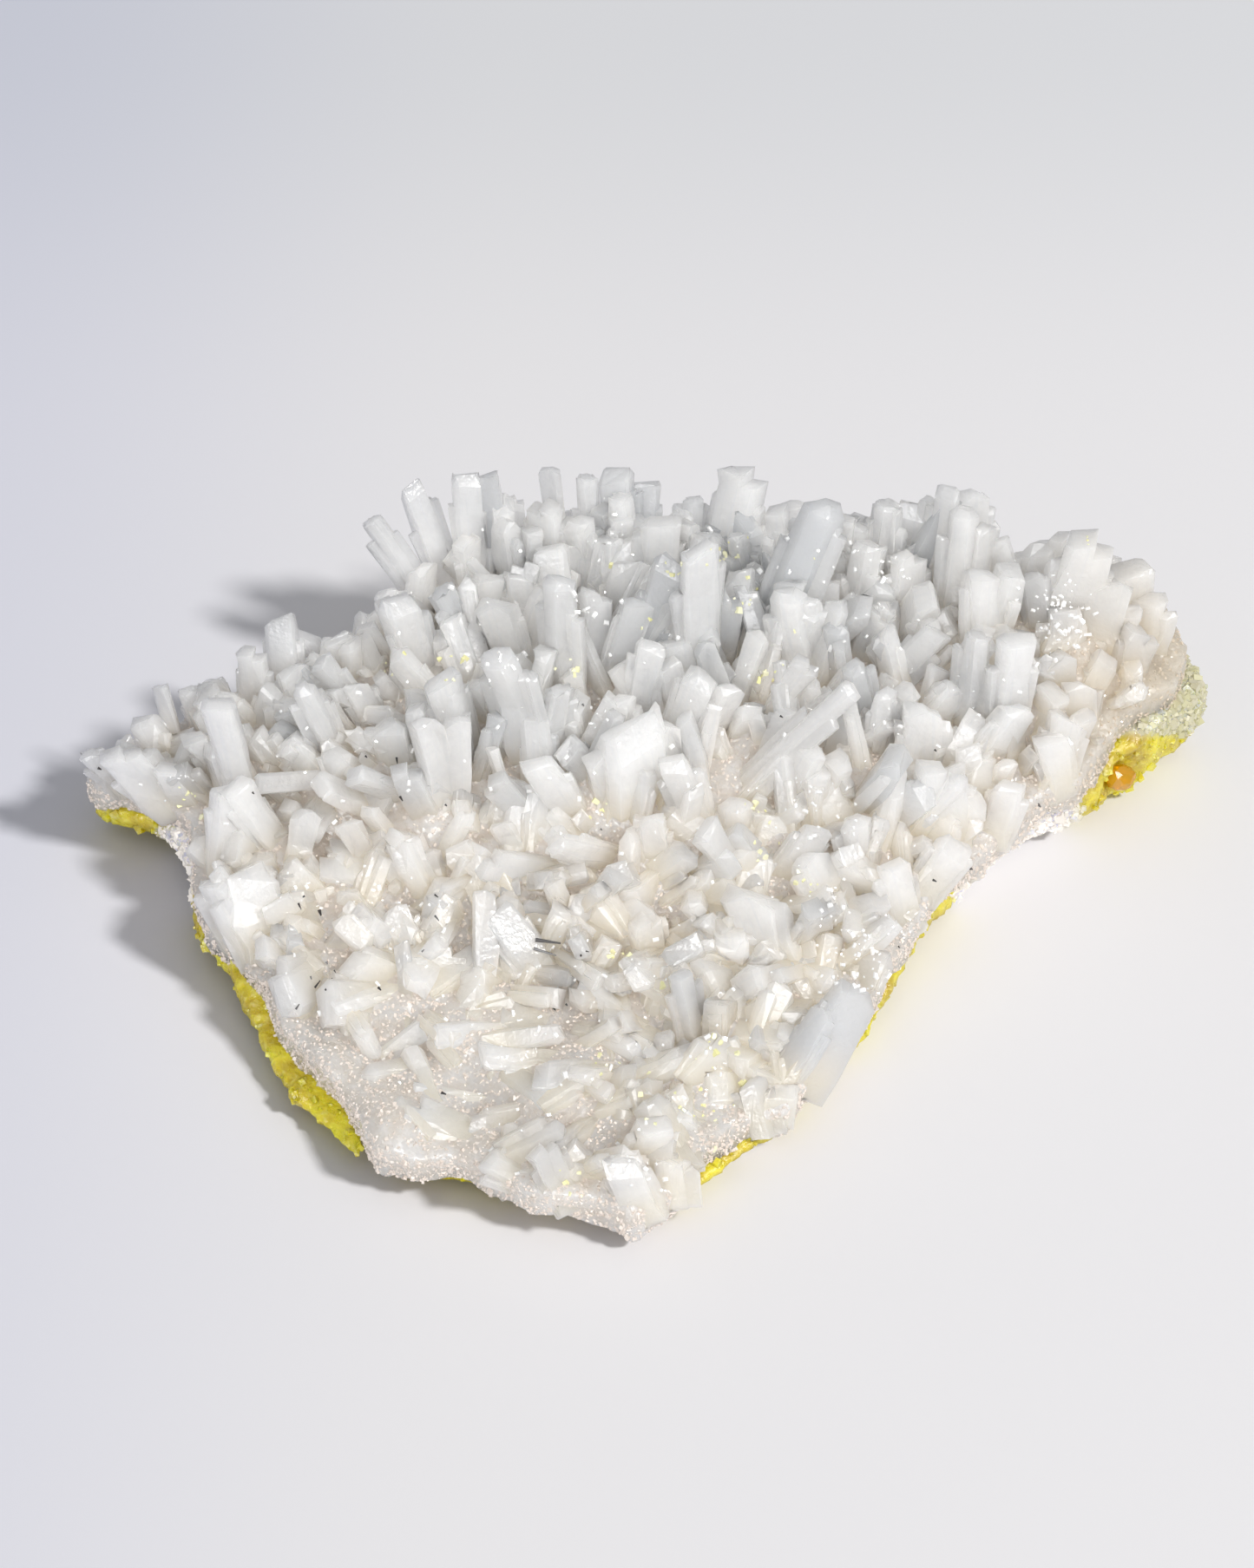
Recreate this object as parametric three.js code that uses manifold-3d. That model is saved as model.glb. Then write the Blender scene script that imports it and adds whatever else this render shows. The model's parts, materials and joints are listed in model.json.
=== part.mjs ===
// A celestite specimen: white prismatic crystals on a thin crust of their own mineral, grown over
// a layer of native sulfur that holds one amber crystal in its flank. Millimetres, +Z up, and the
// specimen rests on the flattened low points of the sulfur at z = 0.
import * as THREE from 'three';
import { mergeVertices } from 'three/addons/utils/BufferGeometryUtils.js';
import Module from 'manifold-3d';

const wasm = await Module();
wasm.setup();

// Driving dimensions
const TOUCH_GAP = 0.3; // between the sulfur and what grows on it
const CRUST_THICKNESS = 5.2; // of the celestite between the sulfur and the crystals' feet
const CRUST_BASE_HEIGHT = 8.4; // of the crust's top where it is lowest
const ROOT_CLEARANCE = 0.8; // between the crystals' roots and the crust's underside
const AMBER_SIZE = new THREE.Vector3(4.6, 3.6, 4.1);

// Crystals: lengths in mm, and shares of a crystal's own width
const CRYSTAL = {
  root: 2.6, // how deep one stands in the crust
  smallest: 3.3, // a narrower one is too fine for a faceted solid
  flatness: 0.66, // thickness
  chiselFrom: 6, // a wider one has slanting faces round its tip
  bevel: 0.22, // height of those faces
  tipWidth: 0.8, // of the end face inside them
  tipThickness: 0.5,
};
const ROLL_SPREAD = 1.3; // how differently crystals are turned about their lengths, in radians
const SLANT_SPREAD = 0.7; // how differently their end faces slope
const SIZE_SPREAD = 0.5; // how much the unseen ones' sizes differ, over the mean

// How far a crystal points out of the view, over the length that is seen: less towards the back
// of the plate, and never so little that it dips into the crust
const OUT_OF_VIEW = { least: 0.7, spread: 0.35, backDistance: 130, clear: 0.55 };

// Shapes of the plate
const FOOTING = 0.97; // the share of the way out to the rim that crystals have their feet in
const WALL_LEAN = { under: 0.975, over: 0.985 }; // how far a wall leans in, as shares of the rim
const CLEAR_HEIGHT = 90; // above everything
const BLOCK_SIZE = new THREE.Vector2(176, 130); // what the plate is cut from
const CRUST_CELL = 8.6; // between the corners of the crust's upper faces
const SULFUR_CELL = 11; // between the corners of the sulfur's lower faces
const INNER_CELL = 17; // between those of the faces where the crust and the sulfur meet
const CELL_SHIFT = 0.3; // how far a corner strays, over the distance between corners
const INNER_LUMPS = 0.5; // of the surface where they meet, over the lumps of the top
const COLUMN_STRIDE = 131; // sets the rows of corners of a surface apart in the draws
const SIGHT_STEPS = 12; // towards the place where a line of sight meets the uneven crust
const FOOT_STEP = 0.98; // how far a foot past the edge is drawn in at a time

// The view that places are read in: an 85 mm lens on a frame of 1445 by 1807 pixels
const FRAME_PX = new THREE.Vector2(1445, 1807);
const FOCAL_PX = (85 / 36) * FRAME_PX.y;
const VIEW_DISTANCE = 500;
const VIEW_ELEVATION = THREE.MathUtils.degToRad(45);
const VIEW_TARGET = new THREE.Vector3(-3.2, 6.5, 20);
const VIEW_RIGHT = new THREE.Vector3(1, 0, 0);
const VIEW_UP = new THREE.Vector3(0, Math.sin(VIEW_ELEVATION), Math.cos(VIEW_ELEVATION));
const VIEW_BACK = new THREE.Vector3(0, -Math.cos(VIEW_ELEVATION), Math.sin(VIEW_ELEVATION));
const EYE = VIEW_TARGET.clone().addScaledVector(VIEW_BACK, VIEW_DISTANCE);

// The crust's edge, clockwise from the left tip as [pixel x, pixel y, height in mm]
const CRUST_RIM = [
  [98, 905, 9], [112, 925, 8], [150, 940, 7], [195, 962, 6], [222, 985, 6], [226, 1050, 6],
  [240, 1085, 6.5], [266, 1105, 6.5], [304, 1150, 6], [322, 1192, 6], [354, 1234, 5.5],
  [388, 1268, 5.5], [412, 1302, 5.5], [434, 1344, 5], [478, 1362, 4.5], [530, 1358, 4.5],
  [565, 1378, 4.5], [625, 1400, 4.5], [690, 1404, 4.5], [730, 1420, 4.5], [778, 1392, 5],
  [815, 1350, 5], [862, 1318, 5], [905, 1296, 5.5], [930, 1262, 6], [968, 1218, 6],
  [1002, 1175, 6], [1040, 1105, 6.5], [1078, 1050, 7], [1145, 1000, 7], [1196, 958, 7.5],
  [1240, 938, 8], [1270, 892, 9.5], [1310, 850, 10.5], [1352, 822, 11], [1366, 776, 12],
  [1352, 742, 14], [1336, 712, 15], [1306, 690, 14], [1262, 684, 12], [1200, 696, 10],
  [1130, 706, 9], [1050, 708, 9], [970, 712, 9], [880, 710, 9], [800, 706, 9], [720, 706, 9],
  [640, 708, 9], [560, 712, 9], [500, 722, 9], [462, 748, 9], [430, 776, 9], [385, 800, 9],
  [325, 815, 9], [265, 836, 9], [205, 856, 9], [150, 872, 9], [115, 888, 9],
];

// The sulfur's edge, read the same way: it shows under the crust at the left flank and the lower
// right, and runs out beyond the crust at the right end
const SULFUR_RIM = [
  [106, 922, 5.5], [140, 950, 3.8], [190, 966, 3.2], [222, 1002, 3.4], [228, 1075, 4], [262, 1118, 4],
  [288, 1165, 4], [300, 1200, 4], [312, 1225, 3.5], [336, 1262, 3.5], [368, 1292, 3.5],
  [398, 1322, 3.2], [432, 1352, 3], [500, 1352, 3], [580, 1370, 3], [660, 1390, 3], [726, 1404, 3],
  [782, 1384, 3.2], [836, 1340, 3.4], [898, 1308, 3.6], [922, 1262, 4], [964, 1212, 4],
  [1002, 1180, 4], [1050, 1096, 4.2], [1076, 1050, 4.4], [1130, 1000, 3.4], [1184, 966, 3.2],
  [1236, 948, 3], [1280, 926, 3], [1334, 878, 3.4], [1368, 848, 4], [1386, 800, 8],
  [1380, 764, 11.5], [1364, 738, 12], [1336, 722, 10], [1290, 714, 8], [1200, 728, 6],
  [1060, 734, 6], [900, 734, 6], [720, 732, 6], [560, 738, 6], [478, 768, 6], [400, 816, 6],
  [265, 850, 6], [150, 884, 7],
];

// Swellings of the crust's top, as centre x and y, spread and rise
const MOUNDS = [
  { x: 4, y: 24, spreadX: 44, spreadY: 25, rise: 9.5 },
  { x: -52, y: 16, spreadX: 20, spreadY: 16, rise: 2.6 },
  { x: 64, y: 40, spreadX: 17, spreadY: 17, rise: 9 },
];

// Lumps of the crust and the sulfur, as waves with their lengths and their height
const LUMP_WAVES = [
  { lengthX: 31, lengthY: 24, phase: 0.6, rise: 0.7 },
  { lengthX: -17, lengthY: 21, phase: 2.1, rise: 0.6 },
  { lengthX: 11, lengthY: 13, phase: 4.0, rise: 0.4 },
];

// Crystals at the left, each as [foot x, foot y, tip x, tip y, width] in pixels. A sixth number
// says how steeply a crystal points out of the view, where it is not the usual.
const LEFT_CRYSTALS = [
  [400, 768, 337, 733, 26], [455, 762, 375, 750, 26], [348, 832, 345, 770, 32],
  [392, 882, 362, 795, 38], [425, 835, 378, 765, 36], [375, 868, 318, 842, 32],
  [300, 830, 302, 755, 38], [285, 950, 280, 800, 45], [275, 835, 245, 808, 22],
  [295, 850, 325, 800, 34], [265, 990, 280, 905, 52], [318, 975, 283, 905, 40],
  [405, 895, 302, 905, 22], [378, 922, 358, 960, 34], [340, 922, 330, 932, 14],
  [195, 872, 247, 862, 40], [158, 912, 150, 866, 50], [190, 866, 178, 828, 46],
  [126, 902, 114, 868, 34], [216, 925, 207, 885, 34], [235, 835, 228, 795, 28],
  [250, 830, 243, 792, 18],
];

// Crystals of the middle and of the skyline behind it
const MIDDLE_CRYSTALS = [
  [482, 700, 440, 612, 34], [515, 690, 485, 575, 34], [548, 700, 545, 565, 34],
  [575, 690, 568, 567, 32], [590, 690, 597, 587, 24], [610, 690, 612, 620, 22],
  [640, 670, 637, 560, 28], [650, 680, 652, 600, 24], [672, 660, 677, 567, 32],
  [715, 660, 714, 557, 40], [725, 680, 745, 570, 40], [680, 730, 700, 632, 52],
  [652, 815, 645, 680, 50], [690, 800, 685, 690, 34], [752, 720, 760, 612, 46],
  [800, 640, 798, 585, 26], [825, 690, 850, 560, 56], [862, 665, 830, 682, 36, 2.2],
  [805, 790, 800, 650, 50], [725, 800, 775, 660, 44], [700, 800, 735, 700, 36],
  [845, 830, 808, 745, 28], [785, 830, 770, 768, 34], [490, 800, 470, 697, 50],
  [560, 770, 515, 690, 44], [600, 790, 575, 700, 50], [610, 740, 600, 670, 30],
  [540, 880, 520, 785, 50], [615, 880, 585, 760, 60], [660, 815, 645, 850, 48, 2.2],
  [660, 945, 620, 880, 44], [740, 920, 725, 835, 95], [790, 850, 787, 820, 28],
  [755, 990, 750, 935, 40], [745, 990, 742, 940, 26], [790, 960, 800, 905, 24],
  [850, 915, 970, 800, 34], [1000, 850, 975, 770, 44],
];

// Crystals of the right half, behind
const RIGHT_CRYSTALS = [
  [880, 760, 940, 600, 60], [895, 660, 912, 590, 26], [888, 660, 890, 605, 18],
  [868, 690, 868, 637, 26], [985, 700, 987, 608, 28], [1003, 700, 1000, 625, 20],
  [965, 690, 972, 625, 22], [1040, 720, 1040, 645, 44], [1035, 680, 1035, 602, 26],
  [1052, 690, 1052, 612, 22], [1080, 700, 1075, 577, 34], [1095, 720, 1092, 600, 46],
  [1118, 720, 1120, 615, 24], [1130, 760, 1122, 668, 52], [1160, 700, 1140, 630, 30],
  [1205, 745, 1172, 670, 34], [1215, 745, 1228, 635, 50], [1260, 740, 1255, 660, 50],
  [1280, 770, 1275, 685, 28], [1320, 740, 1315, 680, 40], [1250, 760, 1258, 690, 20],
  [1185, 775, 1175, 735, 30], [1180, 812, 1225, 822, 28], [1240, 790, 1188, 772, 12],
  [1050, 790, 1005, 735, 44], [990, 745, 970, 705, 12], [1110, 850, 1108, 740, 44],
  [1155, 850, 1150, 745, 50], [1065, 900, 1055, 815, 52], [1010, 880, 1010, 800, 36],
  [930, 790, 900, 690, 56], [960, 720, 955, 650, 44],
];

// Crystals of the front, and of the lower right
const FRONT_CRYSTALS = [
  [640, 1000, 560, 990, 34], [600, 990, 580, 945, 30], [715, 1045, 655, 1040, 40],
  [700, 1062, 755, 1048, 48], [625, 1120, 572, 1040, 46], [558, 1150, 562, 1015, 24],
  [470, 1150, 467, 1075, 18], [545, 1110, 478, 1105, 24], [585, 1180, 502, 1185, 28],
  [685, 1235, 616, 1232, 34], [760, 1105, 725, 1120, 40, 1.8], [800, 1195, 783, 1105, 40],
  [815, 1130, 790, 1072, 40], [850, 1100, 832, 1050, 36], [895, 1110, 862, 1015, 64],
  [915, 1005, 872, 995, 30], [960, 1040, 925, 980, 50], [930, 1230, 985, 1125, 60],
  [900, 1240, 950, 1150, 40], [765, 1225, 765, 1178, 22], [770, 1220, 795, 1195, 22],
  [700, 1200, 712, 1170, 34], [725, 1215, 705, 1192, 30], [860, 1222, 843, 1185, 14],
  [740, 1390, 715, 1320, 50], [780, 1385, 775, 1325, 50], [640, 1390, 625, 1305, 40],
  [575, 1380, 560, 1325, 40], [880, 1290, 860, 1235, 50], [910, 1290, 900, 1240, 40],
  [300, 1080, 285, 1000, 70], [275, 1075, 255, 1010, 45], [245, 990, 225, 970, 30],
  [410, 985, 450, 970, 40], [415, 1045, 400, 1020, 24], [380, 1090, 430, 1040, 26],
  [500, 1058, 468, 1042, 9], [530, 940, 535, 830, 30], [510, 940, 500, 830, 32],
  [500, 900, 487, 820, 30], [530, 900, 520, 800, 40], [495, 945, 472, 885, 34],
  [455, 830, 458, 858, 34, 2.2], [440, 850, 415, 790, 34], [990, 1010, 975, 940, 44],
  [1090, 960, 1070, 885, 60], [1165, 955, 1158, 905, 40], [1120, 910, 1110, 860, 40],
  [1040, 1050, 1020, 990, 48], [1110, 1020, 1100, 965, 46], [1220, 900, 1200, 850, 44],
];

// The back, which the photograph hides: rows of crystals that lean out over the edge, from one
// share of the way round the rim to another
const BACK_ROWS = [
  { from: 0.65, to: 0.865, count: 15, inset: 0.92, lean: 0.6, length: 10, width: 5.2 },
  { from: 0.66, to: 0.86, count: 12, inset: 0.84, lean: 0.4, length: 12, width: 5.8 },
  { from: 0.87, to: 0.97, count: 8, inset: 0.9, lean: 0.6, length: 5, width: 4.4 },
];
const BACK_SPREAD = { place: 0.6, inset: 0.06, heading: 0.9, leastLean: 0.5 }; // within a row
const BACK_FLATTENING = 0.6; // turns the crystals of a row more towards the back than to the sides
const ROW_STRIDE = 100; // sets the rows apart in the draws
const SHORT_CRYSTALS = { count: 72, reach: 80, inset: 0.95, lean: 1.1, length: 4.6, width: 3.4 };
const GOLDEN_ANGLE = Math.PI * (3 - Math.sqrt(5));

// The sulfur's underside: it is lumpy, and rises in steps past these shares of the way out
const SULFUR_STEPS = [0.72, 0.84, 0.93];
const SULFUR_STEP_RISE = 0.8;
const SULFUR_MEAN_HEIGHT = 0.1; // in the middle, so that the low half of the lumps is flattened
const SULFUR_LUMP_SHRINK = 1.2; // how much closer its lumps are than the crust's

// Where the amber crystal shows, in pixels, and its height above the table in mm
const AMBER_PX = [1291, 896, 6.1];

// A repeatable number from 0 to 1 for the draw-th choice about the item-th thing
function draw(item, choice) {
  const wave = Math.sin(item * 12.9898 + choice * 78.233) * 43758.5453;
  return wave - Math.floor(wave);
}

// The point at a height on the line of sight through a pixel
function pointAtHeight(px, py, height) {
  const ray = VIEW_BACK.clone().negate();
  ray.addScaledVector(VIEW_RIGHT, (px - FRAME_PX.x / 2) / FOCAL_PX);
  ray.addScaledVector(VIEW_UP, (FRAME_PX.y / 2 - py) / FOCAL_PX);
  return EYE.clone().addScaledVector(ray, (height - EYE.z) / ray.z);
}

function lumps(x, y) {
  let height = 0;
  for (const { lengthX, lengthY, phase, rise } of LUMP_WAVES) {
    height += rise * Math.sin(2 * Math.PI * (x / lengthX + y / lengthY) + phase);
  }
  return height;
}

function crustTop(x, y) {
  let height = CRUST_BASE_HEIGHT + lumps(x, y);
  for (const mound of MOUNDS) {
    const across = (x - mound.x) / mound.spreadX;
    const along = (y - mound.y) / mound.spreadY;
    height += mound.rise * Math.exp(-0.5 * (across * across + along * along));
  }
  return height;
}

// The point where the line of sight through a pixel meets the crust's top
function pointOnCrust(px, py) {
  let point = pointAtHeight(px, py, CRUST_BASE_HEIGHT);
  for (let step = 0; step < SIGHT_STEPS; step += 1) {
    point = pointAtHeight(px, py, crustTop(point.x, point.y));
  }
  return point;
}

// A closed three.js geometry as a solid for joining and cutting
function toSolid(geometry) {
  geometry.deleteAttribute('normal');
  geometry.deleteAttribute('uv');
  const merged = mergeVertices(geometry, 1e-4);
  return new wasm.Manifold(new wasm.Mesh({
    numProp: 3,
    vertProperties: new Float32Array(merged.attributes.position.array),
    triVerts: new Uint32Array(merged.index.array),
  }));
}

function toGeometry(solid) {
  const { vertProperties, triVerts } = solid.getMesh();
  const geometry = new THREE.BufferGeometry();
  geometry.setAttribute('position', new THREE.BufferAttribute(vertProperties, 3));
  geometry.setIndex(new THREE.BufferAttribute(triVerts, 1));
  geometry.computeVertexNormals();
  return geometry;
}

function rimPoints(rows) {
  return rows.map(([px, py, height]) => pointAtHeight(px, py, height));
}

const CRUST_EDGE = rimPoints(CRUST_RIM);

// What the outline of a rim cuts out: its walls lean in a little above and below the rim
function outlineSolid(edge) {
  const [low, high] = [-CLEAR_HEIGHT, CLEAR_HEIGHT];
  const rings = [[0, low], [WALL_LEAN.under, low], [1, null], [WALL_LEAN.over, high], [0, high]];
  const profile = rings.map(([out], place) => new THREE.Vector2(out, place));
  const geometry = new THREE.LatheGeometry(profile, edge.length);
  const position = geometry.attributes.position;
  for (let i = 0; i < position.count; i += 1) {
    const corner = edge[Math.floor(i / rings.length) % edge.length];
    const [out, level] = rings[i % rings.length];
    position.setXYZ(i, corner.x * out, corner.y * out, level ?? corner.z);
  }
  return toSolid(geometry);
}

// A block between two uneven surfaces, each given as a height over x and y
function blockBetween(under, top, cell) {
  const steps = BLOCK_SIZE.clone().divideScalar(cell).round();
  const geometry = new THREE.BoxGeometry(BLOCK_SIZE.x, BLOCK_SIZE.y, 1, steps.x, steps.y, 1);
  const position = geometry.attributes.position;
  for (let i = 0; i < position.count; i += 1) {
    const column = Math.round(position.getX(i) / (BLOCK_SIZE.x / steps.x) * 2);
    const row = Math.round(position.getY(i) / (BLOCK_SIZE.y / steps.y) * 2);
    const place = column * COLUMN_STRIDE + row;
    const x = position.getX(i) + cell * CELL_SHIFT * (2 * draw(place, 1) - 1);
    const y = position.getY(i) + cell * CELL_SHIFT * (2 * draw(place, 2) - 1);
    position.setXYZ(i, x, y, position.getZ(i) > 0 ? top(x, y) : under(x, y));
  }
  return toSolid(geometry);
}

// The surface between the celestite and the sulfur
function crustUnder(x, y) {
  return crustTop(x, y) - CRUST_THICKNESS - INNER_LUMPS * lumps(y, x);
}

// Whether a point lies within a share of the way out to the crust's rim, by the even-odd rule
function withinRim(x, y, share) {
  let inside = false;
  CRUST_EDGE.forEach((start, place) => {
    const end = CRUST_EDGE[(place + 1) % CRUST_EDGE.length];
    const [ax, ay, bx, by] = [start.x, start.y, end.x, end.y].map((value) => value * share);
    if ((ay > y) !== (by > y) && x < ax + ((bx - ax) * (y - ay)) / (by - ay)) inside = !inside;
  });
  return inside;
}

// A flattened four-sided prism from its root up to its tip, with slanting faces round the tip of
// a wide one. The roll turns it about its own length, and the slant tips its end face.
function crystal(root, tip, width, roll, slant) {
  const length = root.distanceTo(tip);
  const bevel = width > CRYSTAL.chiselFrom ? CRYSTAL.bevel * width : 0;
  const rings = bevel ? 2 : 1;
  const geometry = new THREE.BoxGeometry(width, length, CRYSTAL.flatness * width, 1, rings, 1);
  const position = geometry.attributes.position;
  for (let i = 0; i < position.count; i += 1) {
    const ring = Math.round((position.getY(i) / length + 0.5) * rings);
    const isTip = ring === rings;
    const height = [0, isTip ? length : length - bevel, length][ring];
    const [keptWidth, keptThickness] = isTip && bevel ? [CRYSTAL.tipWidth, CRYSTAL.tipThickness] : [1, 1];
    const rise = ring > 0 ? slant * position.getX(i) : 0;
    position.setXYZ(i, keptWidth * position.getX(i), height + rise, keptThickness * position.getZ(i));
  }
  const along = tip.clone().sub(root).normalize();
  const side = new THREE.Vector3().crossVectors(along, VIEW_BACK).normalize();
  side.applyAxisAngle(along, roll);
  const face = new THREE.Vector3().crossVectors(side, along);
  geometry.applyMatrix4(new THREE.Matrix4().makeBasis(side, along, face).setPosition(root));
  return toSolid(geometry);
}

// The foot of a crystal on the crust. One that would stand past the edge is drawn in towards the
// middle of the plate, where the crystals in front of it hide its foot.
function footOnCrust(px, py) {
  const foot = pointOnCrust(px, py);
  while (!withinRim(foot.x, foot.y, FOOTING)) foot.multiplyScalar(FOOT_STEP);
  foot.z = crustTop(foot.x, foot.y);
  return foot;
}

// Crystals read from the picture: a foot on the crust, and a tip that leans as it is seen to
function seenCrystals(rows) {
  const solids = [];
  rows.forEach(([footX, footY, tipX, tipY, widthPx, steepness], item) => {
    const foot = footOnCrust(footX, footY);
    const scale = foot.distanceTo(EYE) / FOCAL_PX;
    const width = widthPx * scale;
    if (width < CRYSTAL.smallest) return;
    const sight = pointAtHeight(tipX, tipY, foot.z).sub(foot);
    const across = sight.dot(VIEW_RIGHT);
    const up = sight.dot(VIEW_UP);
    const seen = Math.hypot(across, up);
    const { least, spread, backDistance, clear } = OUT_OF_VIEW;
    const usual = least + spread * draw(item, widthPx) - foot.y / backDistance;
    const out = Math.max(seen * (steepness ?? usual), clear * seen - up);
    const lean = new THREE.Vector3();
    lean.addScaledVector(VIEW_RIGHT, across).addScaledVector(VIEW_UP, up);
    lean.addScaledVector(VIEW_BACK, out);
    const tip = foot.clone().add(lean);
    const root = foot.clone().addScaledVector(lean.normalize(), -CRYSTAL.root);
    const roll = (draw(item, tipX) - 0.5) * ROLL_SPREAD;
    const slant = (draw(item, footX) - 0.5) * SLANT_SPREAD;
    solids.push(crystal(root, tip, width, roll, slant));
  });
  return solids;
}

// A crystal that no pixel gives: it stands on the crust and leans by a heading and a slope
function unseenCrystal(foot, heading, slope, size, item) {
  const lean = new THREE.Vector3(slope * Math.cos(heading), slope * Math.sin(heading), 1).normalize();
  const length = size.length * (1 + SIZE_SPREAD * (draw(item, 1) - 0.5));
  const width = size.width * (1 + SIZE_SPREAD * (draw(item, 2) - 0.5));
  const root = foot.clone().addScaledVector(lean, -CRYSTAL.root / 2);
  const tip = foot.clone().addScaledVector(lean, length);
  return crystal(root, tip, width, Math.PI * draw(item, 3), SLANT_SPREAD * (draw(item, 4) - 0.5));
}

function backCrystals() {
  const curve = new THREE.CatmullRomCurve3(CRUST_EDGE, true);
  return BACK_ROWS.flatMap((row, rowPlace) => Array.from({ length: row.count }, (_, place) => {
    const item = ROW_STRIDE * rowPlace + place;
    const along = (place + BACK_SPREAD.place * draw(item, 5)) / row.count;
    const edge = curve.getPointAt(THREE.MathUtils.lerp(row.from, row.to, along));
    const foot = edge.clone().multiplyScalar(row.inset - BACK_SPREAD.inset * draw(item, 6));
    foot.z = crustTop(foot.x, foot.y);
    const outwards = Math.atan2(edge.y, BACK_FLATTENING * edge.x);
    const heading = outwards + BACK_SPREAD.heading * (draw(item, 7) - 0.5);
    return unseenCrystal(foot, heading, row.lean * (BACK_SPREAD.leastLean + draw(item, 8)), row, item);
  }));
}

// Short crystals between the tall ones, one in each cell of a spiral that fills the plate
function shortCrystals() {
  const solids = [];
  for (let item = 0; item < SHORT_CRYSTALS.count; item += 1) {
    const heading = item * GOLDEN_ANGLE;
    const out = Math.sqrt((item + 0.5) / SHORT_CRYSTALS.count) * SHORT_CRYSTALS.reach;
    const foot = new THREE.Vector3(out * Math.cos(heading), out * Math.sin(heading), 0);
    if (!withinRim(foot.x, foot.y, SHORT_CRYSTALS.inset)) continue;
    foot.z = crustTop(foot.x, foot.y);
    const slope = SHORT_CRYSTALS.lean * draw(item, 9);
    solids.push(unseenCrystal(foot, 2 * Math.PI * draw(item, 10), slope, SHORT_CRYSTALS, item));
  }
  return solids;
}

// All that is above the surface between the celestite and the sulfur, or a little above or below
function aboveSulfur(shift) {
  return blockBetween((x, y) => crustUnder(x, y) + shift, () => CLEAR_HEIGHT, INNER_CELL);
}

function makeCrust() {
  return blockBetween(() => -CLEAR_HEIGHT, crustTop, CRUST_CELL)
    .intersect(aboveSulfur(0))
    .intersect(outlineSolid(CRUST_EDGE));
}

function makeSulfur() {
  const bottom = (x, y) => {
    const steps = SULFUR_STEPS.filter((share) => !withinRim(x, y, share)).length;
    const low = lumps(SULFUR_LUMP_SHRINK * x, SULFUR_LUMP_SHRINK * y);
    return SULFUR_MEAN_HEIGHT + low + SULFUR_STEP_RISE * steps;
  };
  const tableTop = new THREE.BoxGeometry(2 * BLOCK_SIZE.x, 2 * BLOCK_SIZE.y, CLEAR_HEIGHT);
  tableTop.translate(0, 0, -CLEAR_HEIGHT / 2);
  return blockBetween(bottom, () => CLEAR_HEIGHT, SULFUR_CELL)
    .intersect(outlineSolid(rimPoints(SULFUR_RIM)))
    .subtract(aboveSulfur(-TOUCH_GAP))
    .subtract(toSolid(tableTop));
}

// A rounded crystal with many small faces, or the pocket that it sits in
function makeAmber(extra) {
  const size = AMBER_SIZE.clone().addScalar(2 * extra);
  const geometry = new THREE.IcosahedronGeometry(0.5, 1);
  geometry.scale(size.x, size.y, size.z);
  const centre = pointAtHeight(...AMBER_PX);
  geometry.translate(centre.x, centre.y, centre.z);
  return toSolid(geometry);
}

// A solid without the flakes that a cut parted from it, and without sealed hollows
function largestBody(solid) {
  return solid.decompose().reduce((a, b) => (a.volume() > b.volume() ? a : b));
}

const crust = makeCrust();
const crystals = [
  ...seenCrystals(LEFT_CRYSTALS), ...seenCrystals(MIDDLE_CRYSTALS),
  ...seenCrystals(RIGHT_CRYSTALS), ...seenCrystals(FRONT_CRYSTALS), ...backCrystals(),
  ...shortCrystals(),
];
const druse = largestBody(crust.add(wasm.Manifold.union(crystals).intersect(aboveSulfur(ROOT_CLEARANCE))));
const sulfur = makeSulfur().subtract(makeAmber(TOUCH_GAP));

function addPiece(group, name, solid, look) {
  const mesh = new THREE.Mesh(toGeometry(solid), new THREE.MeshStandardMaterial(look));
  mesh.name = name;
  group.add(mesh);
}

const specimen = new THREE.Group();
addPiece(specimen, 'celestite_druse', druse, { color: '#e4e6ea', roughness: 0.3, metalness: 0 });
addPiece(specimen, 'sulfur_layer', sulfur, { color: '#d2c83a', roughness: 0.6, metalness: 0 });
addPiece(specimen, 'amber_sulfur_crystal', makeAmber(0), {
  color: '#cf9a12', roughness: 0.25, metalness: 0,
});
export default specimen;
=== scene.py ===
import json
import math

import bmesh
import bpy
import numpy as np
from mathutils import Matrix, Vector
from mathutils.bvhtree import BVHTree

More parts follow.
